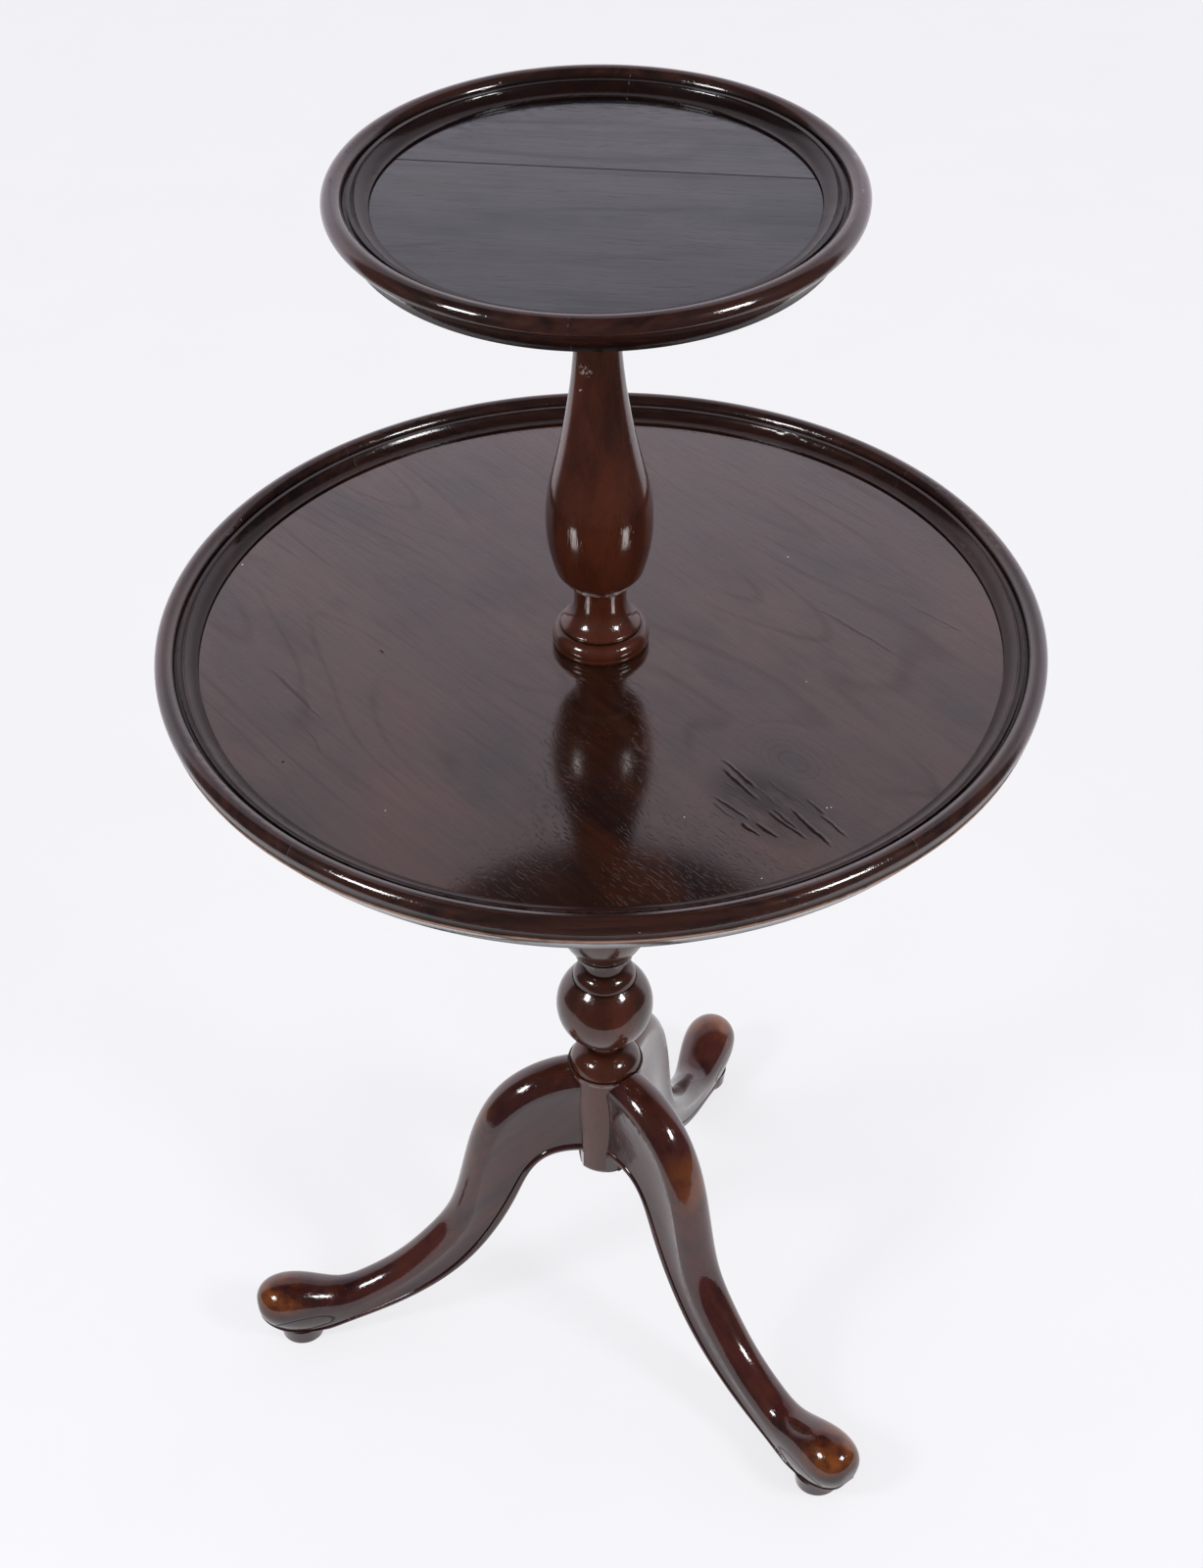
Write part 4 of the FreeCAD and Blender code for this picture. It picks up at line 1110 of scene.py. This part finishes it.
@dataclass
class Stem(Assembly):
    """The turned pillar and the turned column above it.

    Attributes:
        pillar: the pillar's marks.
        column: the column's marks, with the dust where it stands on the tray and its scuffs.
        crease: half the width of a crease's painted shade, in metres.
    """

    pillar: Turning = Turning(
        node="pillar", finish="pillar_mahogany", origin=(0.0, 0.0, 0.0),
        creases=(0.251, 0.2568, 0.2725, 0.2805, 0.342, 0.3685, 0.581),
        edges=(Line(0.2538, 0.0012), Line(0.3665, 0.0012), Line(0.5785, 0.0014)))
    column: Turning = Turning(
        node="upper_column", finish="column_mahogany", origin=(0.5, 0.37, 0.21),
        creases=(0.659, 0.6971, 0.897),
        edges=(Line(0.6952, 0.0024), Line(0.8950, 0.0014)),
        dusty=(Line(0.6453, 0.0007),),
        scuffs=(Spot(-0.0075, 0.8555, 0.005, 0.0055), Spot(-0.0105, 0.842, 0.0015, 0.0015)))
    crease: float = 0.0008

    def wood(self, turning: Turning) -> bpy.types.Material:
        """Makes the finish of one turning.

        Args:
            turning: the turned piece.

        Returns:
            The material.
        """
        # The pale grey given to the rubbed edges is a painted highlight, and the colour in the hollows a
        # painted shade.
        return TurnedWood(
            name=turning.finish, dark=(0.017, 0.0047, 0.0026), light=(0.055, 0.013, 0.0056),
            wear_and_glint=(0.22, 0.19, 0.19), turn=UPRIGHT, origin=turning.origin, streaks=(13.0, 38.0),
            film=0.85, hollow_shade_reach=0.014, hollow_shade=0.8,
            creases=tuple(Line(at, self.crease) for at in turning.creases), edges=turning.edges,
            dusty=turning.dusty, scuffs=turning.scuffs).build()

    def build(self) -> None:
        """Dresses both turnings."""
        for turning in (self.pillar, self.column):
            self.dress(turning.node, self.wood(turning))


@dataclass
class Tripod(Assembly):
    """The three carved legs and the iron that ties them under the hub.

    Attributes:
        azimuths: each leg's name and direction, in degrees.
        slope: how steeply the grain falls along a leg, in degrees.
        plank_step: how far the grain's frame moves for each degree between two legs, in metres.
        knee: the rubbed patch on the knee, by distance from the axis and height.
        toe: the rubbed patch on the toe.
        loop: the carved loop on the foot.
        iron: the finish of the brace.
        steel: the finish of all screws.
        screws: the nodes of all screws.
    """

    azimuths: tuple[tuple[str, float], ...] = (
        ("leg_back", 69.4), ("leg_left", 189.4), ("leg_right", 309.4))
    slope: float = 42.0
    plank_step: float = 0.01
    knee: Spot = Spot(0.095, 0.19, 0.05, 0.05)
    toe: Spot = Spot(0.262, 0.045, 0.032, 0.028)
    loop: Spot = Spot(0.243, 0.026, 0.022, 0.008)
    iron: Metal = Metal(
        name="forged_iron", bright=(0.045, 0.043, 0.042), dull=(0.02, 0.017, 0.015),
        gloss=(0.45, 0.7), metallic=0.85, grit=180.0)
    steel: Metal = Metal(
        name="screw_steel", bright=(0.32, 0.31, 0.3), dull=(0.14, 0.12, 0.1),
        gloss=(0.3, 0.5), metallic=1.0, grit=400.0)
    screws: tuple[str, ...] = ("leg_brace_screws", "lower_bearer_screws", "upper_bearer_screws")

    def leg_finish(self, name: str, degrees: float) -> bpy.types.Material:
        """Makes one leg's finish, with its grain down the leg.

        Args:
            name: the leg's node.
            degrees: the leg's direction, in degrees.

        Returns:
            The material.
        """
        azimuth = math.radians(degrees)
        return LegWood(
            name=name + "_mahogany", dark=(0.013, 0.003, 0.0036), light=(0.044, 0.01, 0.0088),
            wear_and_glint=(0.2, 0.056, 0.009), turn=(0.0, math.radians(self.slope), azimuth),
            origin=(self.plank_step * degrees, 0.0, 0.0), streaks=(6.0, 70.0), sheen=0.03,
            azimuth=azimuth, patches=(self.knee, self.toe), loop=self.loop).build()

    def build(self) -> None:
        """Dresses the legs, the brace and all screws."""
        for name, degrees in self.azimuths:
            self.dress(name, self.leg_finish(name, degrees))
        self.dress("leg_brace", self.iron.build())
        steel = self.steel.build()
        for name in self.screws:
            self.dress(name, steel)


@dataclass
class Tray(Assembly):
    """One round tray: its boards, its rim in four segments and the boss below.

    Attributes:
        prefix: how the names of its nodes start.
        tier: the body that it rides on.
        radius: the tray's radius, in metres.
        segments: each segment's name and the direction of its middle, in degrees.
        boards: the names of its boards.
        field: the finish of the boards, which each board gets a shifted copy of.
        arris: the arris under the rim's round, by height, along which a highlight is painted.
        fade: where the polish of the round fades out, by height.
        raw_share: how bare the band under the arris is.
        inner_shade: how dark the painted shade on the slope inside the round is.
        rim_dark: the rim's dark streaks, linear.
        rim_light: the rim's light streaks, linear.
        rim_wear_and_glint: the colour of the rim's rubbed edges, a painted grey sheen, linear.
        round_in: how far in from the outside the top of the round lies, in metres.
        groove_in: the rubbed edges of the groove inside the round, painted with a grey sheen, in from the
            outside.
        degrees_along: how many degrees round the rim move the grain's frame by a metre along the grain.
        degrees_up: how many degrees round the rim move it by a metre upwards.
        board_step: how far the grain's frame moves from one board to the next, in metres.
        boss_dark: the boss's dark streaks, linear.
        boss_light: the boss's light streaks, linear.
        glue_dark: the glue's dark streaks, linear.
        glue_light: the glue's light streaks, linear.
        gap: the line between two segments at the rim's outside, in metres.
        end_facing: how squarely the face at a segment's end looks along the rim.
    """

    prefix: str
    tier: Tier
    radius: float
    segments: tuple[tuple[str, float], ...]
    boards: tuple[str, ...]
    field: FieldWood
    arris: Line
    fade: Line
    raw_share: float
    inner_shade: float
    rim_dark: Colour = (0.009, 0.0032, 0.0026)
    rim_light: Colour = (0.03, 0.0093, 0.006)
    rim_wear_and_glint: Colour = (0.06, 0.055, 0.055)
    round_in: float = 0.0065
    groove_in: tuple[Line, ...] = (Line(0.0154, 0.0007), Line(0.0139, 0.0007))
    degrees_along: float = 40.0
    degrees_up: float = 90.0
    board_step: float = 0.37
    boss_dark: Colour = (0.04, 0.016, 0.009)
    boss_light: Colour = (0.09, 0.036, 0.02)
    glue_dark: Colour = (0.008, 0.004, 0.003)
    glue_light: Colour = (0.02, 0.008, 0.005)
    gap: float = 0.0004
    end_facing: float = 0.98

    def rim_finish(self, name: str, middle: float) -> bpy.types.Material:
        """Makes one segment's finish, with its grain along its own chord.

        Args:
            name: the segment's node.
            middle: the direction of its middle, in degrees.

        Returns:
            The material.
        """
        # The grey on the groove's rubbed edges is a painted sheen, the pale arris a painted highlight, and
        # the slope inside the round and its hollows carry painted shade.
        return RimWood(
            name=name + "_mahogany", dark=self.rim_dark, light=self.rim_light, wear_and_glint=self.rim_wear_and_glint,
            turn=(0.0, 0.0, math.radians(middle + QUARTER)), streaks=(6.0, 150.0), hollow_shade=0.1,
            origin=(middle / self.degrees_along, 0.0, middle / self.degrees_up), axis=Axis.RADIUS,
            edges=tuple(Line(self.radius - edge.at, edge.half) for edge in self.groove_in),
            arris=self.arris, fade=self.fade, raw_share=self.raw_share,
            round_line=self.radius - self.round_in, inner_shade=self.inner_shade).build()

    def glue(self, name: str, middle: float) -> None:
        """Fills the line between a segment and the one before it with glue, flush with the moulding.

        Args:
            name: the segment's node.
            middle: the direction of its middle, in degrees.
        """
        mesh = bmesh.new()
        mesh.from_mesh(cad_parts[name].data)
        bmesh.ops.remove_doubles(mesh, verts=mesh.verts[:], dist=WELD)
        away = [face for face in mesh.faces if not self.at_start(face, math.radians(middle))]
        bmesh.ops.delete(mesh, geom=away, context="FACES")
        grown = bmesh.ops.extrude_face_region(mesh, geom=mesh.faces[:])["geom"]
        moved = [part for part in grown if isinstance(part, bmesh.types.BMVert)]
        turn = Matrix.Rotation(-self.gap / self.radius, 3, "Z")
        bmesh.ops.rotate(mesh, cent=(0.0, 0.0, 0.0), matrix=turn, verts=moved)
        bmesh.ops.recalc_face_normals(mesh, faces=mesh.faces[:])
        data = bpy.data.meshes.new(name + "_glue")
        mesh.to_mesh(data)
        mesh.free()
        finish = Wood(name=name + "_glue", dark=self.glue_dark, light=self.glue_light, hollow_shade=0.0)
        data.materials.append(finish.build())
        line = bpy.data.objects.new(name + "_glue", data)
        bpy.context.collection.objects.link(line)
        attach(line, self.tier.value)
        LOG.info("%s", line.name)

    def at_start(self, face: bmesh.types.BMFace, middle: float) -> bool:
        """Tells whether a face closes the start of a segment, where its angle is lowest.

        Args:
            face: the face.
            middle: the direction of the segment's middle, in radians.

        Returns:
            Whether it does.
        """
        centre = face.calc_center_median()
        along = Vector((-centre.y, centre.x, 0.0)).normalized()
        before = math.remainder(math.atan2(centre.y, centre.x) - middle, math.tau) < 0.0
        return before and face.normal.dot(along) < -self.end_facing

    def build(self) -> None:
        """Dresses the boards, the rim and the boss."""
        for index, name in enumerate(self.boards):
            origin = tuple(part + self.board_step * index for part in self.field.origin)
            self.dress(name, replace(self.field, name=name + "_mahogany", origin=origin).build())
        for segment, middle in self.segments:
            name = f"{self.prefix}_rim_segment_{segment}"
            self.dress(name, self.rim_finish(name, middle))
            self.glue(name, middle)
        boss = Wood(
            name=self.prefix + "_bearer_mahogany", dark=self.boss_dark, light=self.boss_light,
            gloss=(0.5, 0.7), polished=False)
        self.dress(self.prefix + "_bearer", boss.build())


@dataclass
class Studio:
    """A pale, softly lit floor, two soft boxes, the room and the camera.

    Attributes:
        floor_half: half the floor's width, in metres.
        paper_side: half the width of the paper that shows in the polish, in metres.
        paper_front: where that paper ends in front of the table, in metres.
        paper_back: where it ends behind the table, in metres.
        paper_dark: the paper's dark fibres, linear.
        paper_light: the paper's light fibres, linear.
        paper_tone: the colour of the floor's glow, linear.
        floor_glow: how bright the floor glows by itself.
        box_aim: the point that the soft boxes light, in metres.
        box_way: the direction to the right soft box.
        box_distance: how far away the boxes are, in metres.
        box_size: the side of a box, in metres.
        box_power: the power of a box, in watts.
        dome: how bright the even light from all sides is.
        dome_tone: the colour of that light, linear.
        wall_tone: the colour of the room in the polish, linear.
        back: how bright the wall behind the table shows in the polish.
        front: how bright the room behind the camera shows in the polish.
        wall_edge: how far back a direction points where that wall fades in.
        wall_rise: how far up a direction points where that wall starts and ends to dim.
        wall_dim: the wall's brightness at these two.
        camera_at: the camera's place, in metres.
        camera_tilt: the camera's turn up from straight down, in degrees.
        camera_roll: the camera's roll, in degrees.
        lens: the lens, in millimetres.
        sensor: the sensor's width, in millimetres.
    """

    floor_half: float = 7.0
    paper_side: float = 1.35
    paper_front: float = -0.58
    paper_back: float = 3.0
    paper_dark: Colour = (0.17, 0.17, 0.178)
    paper_light: Colour = (0.19, 0.19, 0.198)
    paper_tone: Colour = (0.985, 0.98, 1.0)
    floor_glow: float = 0.72
    box_aim: Triple = (0.0, 0.0, 0.4)
    box_way: Triple = (0.68, -0.47, 0.56)
    box_distance: float = 2.3
    box_size: float = 0.44
    box_power: float = 22.0
    dome: float = 0.92
    dome_tone: Colour = (0.95, 0.935, 0.985)
    wall_tone: Colour = (0.98, 0.905, 1.0)
    back: float = 0.95
    front: float = 0.05
    wall_edge: tuple[float, float] = (0.28, 0.46)
    wall_rise: tuple[float, float] = (0.44, 0.68)
    wall_dim: tuple[float, float] = (1.22, 0.66)
    camera_at: Triple = (-0.0006, -1.4596, 1.7298)
    camera_tilt: float = 50.38
    camera_roll: float = -0.644
    lens: float = 63.67
    sensor: float = 36.0

    def floor(self) -> None:
        """Lays the pale paper round the table and the same paper, kept out of reflections, beyond it."""
        paper = self.paper()
        sheet = bmesh.new()
        bmesh.ops.create_grid(sheet, x_segments=1, y_segments=1, size=self.floor_half)
        cuts = ((0, -self.paper_side), (0, self.paper_side), (1, self.paper_front), (1, self.paper_back))
        for axis, at in cuts:
            normal = Vector((1.0 - axis, float(axis), 0.0))
            whole = sheet.verts[:] + sheet.edges[:] + sheet.faces[:]
            bmesh.ops.bisect_plane(sheet, geom=whole, plane_co=at * normal, plane_no=normal)
        for name, mirrored in (("studio_paper", True), ("studio_apron", False)):
            part = sheet.copy()
            away = [face for face in part.faces if self.on_paper(face.calc_center_median()) != mirrored]
            bmesh.ops.delete(part, geom=away, context="FACES")
            data = bpy.data.meshes.new(name)
            part.to_mesh(data)
            part.free()
            data.materials.append(paper)
            laid = bpy.data.objects.new(name, data)
            laid.visible_glossy = mirrored
            bpy.context.collection.objects.link(laid)
            LOG.info("%s", name)
        sheet.free()

    def on_paper(self, point: Vector) -> bool:
        """Tells whether a point of the floor lies on the paper round the table."""
        return abs(point.x) < self.paper_side and self.paper_front < point.y < self.paper_back

    def paper(self) -> bpy.types.Material:
        """Makes the finish of the floor.

        Returns:
            The material.
        """
        graph = Graph("seamless_paper")
        fibre = graph.noise(graph.coordinates.outputs["Object"], 9.0, detail=6.0)
        shader = graph.shader.inputs
        graph.feed(shader["Base Color"], graph.mix(fibre, self.paper_dark, self.paper_light))
        shader["Emission Color"].default_value = (*self.paper_tone, 1.0)
        shader["Emission Strength"].default_value = self.floor_glow
        shader["Roughness"].default_value = 0.9
        shader["Specular IOR Level"].default_value = 0.1
        return graph.material

    def light(self, name: str, way: Vector) -> None:
        """Adds a soft box, as a square area light.

        Args:
            name: the light's name.
            way: the direction to it.
        """
        data = bpy.data.lights.new(name, "AREA")
        data.shape = "SQUARE"
        data.size = self.box_size
        data.energy = self.box_power
        lamp = bpy.data.objects.new(name, data)
        lamp.location = Vector(self.box_aim) + self.box_distance * way.normalized()
        lamp.rotation_euler = (Vector(self.box_aim) - lamp.location).to_track_quat("-Z", "Y").to_euler()
        bpy.context.collection.objects.link(lamp)
        LOG.info("%s: %.0f W", name, self.box_power)

    def room(self) -> None:
        """Lights the room evenly, but shows a pale wall and a dim side behind the camera in the polish."""
        world = bpy.data.worlds.new("studio_room")
        world.use_nodes = True
        ground = world.node_tree.nodes["Background"]
        nodes = Nodes(world.node_tree)
        _, back, up = nodes.split(nodes.coordinates.outputs["Generated"])
        fade = nodes.span(back, *self.wall_edge, self.front, self.back)
        dim = nodes.span(up, *self.wall_rise, *self.wall_dim, smooth=False)
        mirrored = nodes.tree.nodes.new("ShaderNodeLightPath").outputs["Is Glossy Ray"]
        change = nodes.minus(nodes.times(fade, dim), self.dome)
        nodes.feed(ground.inputs["Strength"], nodes.plus(self.dome, nodes.times(mirrored, change)))
        nodes.feed(ground.inputs["Color"], nodes.mix(mirrored, self.dome_tone, self.wall_tone))
        bpy.context.scene.world = world

    def camera(self) -> None:
        """Adds the camera at the photograph's angle."""
        data = bpy.data.cameras.new("camera")
        data.sensor_width = self.sensor
        data.lens = self.lens
        eye = bpy.data.objects.new("camera", data)
        turn = Matrix.Rotation(math.radians(self.camera_tilt), 4, "X")
        roll = Matrix.Rotation(math.radians(self.camera_roll), 4, "Z")
        eye.matrix_world = Matrix.Translation(self.camera_at) @ turn @ roll
        bpy.context.collection.objects.link(eye)
        bpy.context.scene.camera = eye

    def build(self) -> None:
        """Builds the whole studio."""
        self.floor()
        aside, forward, up = self.box_way
        self.light("box_right", Vector((aside, forward, up)))
        self.light("box_left", Vector((-aside, forward, up)))
        self.room()
        self.camera()
        bpy.context.scene.view_settings.view_transform = "Standard"


# The open checks in the lower field, in the object's own plane: a cluster and six fainter ones
LOWER_CHECKS = (
    Check(0.074, -0.127, 0.095, -0.156, 0.0012, 1.0),
    Check(0.095, -0.155, 0.109, -0.176, 0.0008, 0.6),
    Check(0.074, -0.136, 0.095, -0.167, 0.0013, 1.0),
    Check(0.074, -0.147, 0.080, -0.155, 0.0008, 0.5),
    Check(0.078, -0.158, 0.098, -0.181, 0.0009, 0.5),
    Check(0.068, -0.162, 0.088, -0.185, 0.0012, 0.9),
    Check(0.066, -0.167, 0.080, -0.185, 0.0009, 0.6),
    Check(0.083, -0.187, 0.094, -0.200, 0.0011, 1.0),
    Check(0.092, -0.187, 0.104, -0.202, 0.0012, 1.0),
    Check(0.099, -0.176, 0.122, -0.204, 0.0012, 1.0),
    Check(0.103, -0.174, 0.117, -0.194, 0.0009, 0.9),
    Check(0.113, -0.174, 0.136, -0.210, 0.0012, 1.0),
    Check(0.101, -0.146, 0.117, -0.169, 0.0008, 0.6),
    Check(0.110, -0.157, 0.124, -0.174, 0.0008, 0.6),
    Check(0.123, -0.165, 0.134, -0.181, 0.0010, 0.8),
    Check(0.131, -0.180, 0.146, -0.202, 0.0010, 0.9),
    Check(-0.216, -0.027, -0.176, -0.083, 0.0009, 0.4),
    Check(-0.208, -0.036, -0.184, -0.070, 0.0008, 0.35),
    Check(-0.187, -0.090, -0.174, -0.115, 0.0008, 0.3),
    Check(0.141, 0.034, 0.195, -0.024, 0.0009, 0.4),
    Check(0.148, 0.026, 0.180, -0.008, 0.0016, 0.25),
    Check(0.205, 0.034, 0.238, 0.002, 0.0008, 0.4),
)
# Small dark nicks and single specks of dust on the lower field, in the grain's frame
LOWER_NICKS = (
    Spot(-0.275, -0.095, 0.0032, 0.0009),
    Spot(-0.222, -0.209, 0.0012, 0.0015),
)
LOWER_SPECKS = (
    Spot(0.0272, 0.0192, 0.0007, 0.0007),
    Spot(0.0285, 0.0215, 0.0006, 0.0006),
    Spot(-0.1432, -0.1878, 0.0006, 0.0006),
    Spot(0.0497, -0.0542, 0.0006, 0.0006),
    Spot(-0.0218, -0.0528, 0.0006, 0.0006),
    Spot(-0.4159, -0.1098, 0.0009, 0.0009),
    Spot(-0.1839, 0.1797, 0.001, 0.0008),
)


def lower_tray() -> Tray:
    """Describes the lower tray.

    Returns:
        The tray, ready to build.
    """
    field = FieldWood(
        name="lower_field", dark=(0.009, 0.0038, 0.0028), light=(0.018, 0.0068, 0.0045),
        warm=(0.036, 0.0105, 0.0045), cool=(0.003, 0.004, 0.005),
        turn=(0.0, 0.0, math.radians(-51.0)), origin=(0.104, -0.165, 0.0),
        streaks=(7.0, 110.0), bend=0.025, pores=(130.0, 800.0), open_pores=0.14,
        gloss=(0.1, 0.16), polish_rough=0.1, polish_ior=1.77, sheen=0.2, tint=(1.0, 0.42, 0.32),
        knot=Spot(-0.02, 0.033, 0.055, 0.032), stain=Spot(0.003, -0.006, 0.064, 0.036),
        checks=LOWER_CHECKS, nicks=LOWER_NICKS, specks=LOWER_SPECKS, dust=0.12)
    return Tray(
        prefix="lower", tier=Tier.LOWER, radius=0.29, boards=("lower_panel",), field=field,
        segments=(("back", 84.7), ("left", 179.9), ("front", 269.9), ("right", 354.7)),
        arris=Line(0.6412, 0.001), fade=Line(0.6475, 0.0025), raw_share=1.0, inner_shade=0.35)


def upper_tray() -> Tray:
    """Describes the upper tray.

    Returns:
        The tray, ready to build.
    """
    field = FieldWood(
        name="upper_field", dark=(0.0035, 0.0035, 0.004), light=(0.009, 0.0085, 0.0095),
        wear_and_glint=(0.12, 0.07, 0.05), warm=(0.009, 0.007, 0.0075), cool=(0.004, 0.005, 0.0075),
        turn=(0.0, 0.0, math.radians(-7.1)), origin=(0.2, 0.1, 0.0),
        streaks=(4.0, 70.0), bend=0.008, pores=(60.0, 900.0), open_pores=0.2,
        gloss=(0.1, 0.16), polish_rough=0.1, polish_ior=1.66, film=0.62, sheen=0.13,
        tint=(0.25, 0.62, 1.0), rings=12.0, haze_and_sheen=0.4, seam=Line(0.0399, 0.0013), dust=0.05)
    return Tray(
        prefix="upper", tier=Tier.UPPER, radius=0.16, field=field,
        boards=("upper_panel_front_board", "upper_panel_back_board"),
        segments=(("back_right", 35.4), ("back_left", 127.3),
                  ("front_left", 218.7), ("front_right", 306.8)),
        arris=Line(0.9606, 0.0008), fade=Line(0.9625, 0.0015), raw_share=0.6, inner_shade=0.75)


def main() -> None:
    """Builds the classes in order."""
    logging.basicConfig(level=logging.INFO, format="%(message)s")
    for assembly in (Tripod(), Stem(), lower_tray(), upper_tray(), Studio()):
        assembly.build()


if __name__ == "__main__":
    main()
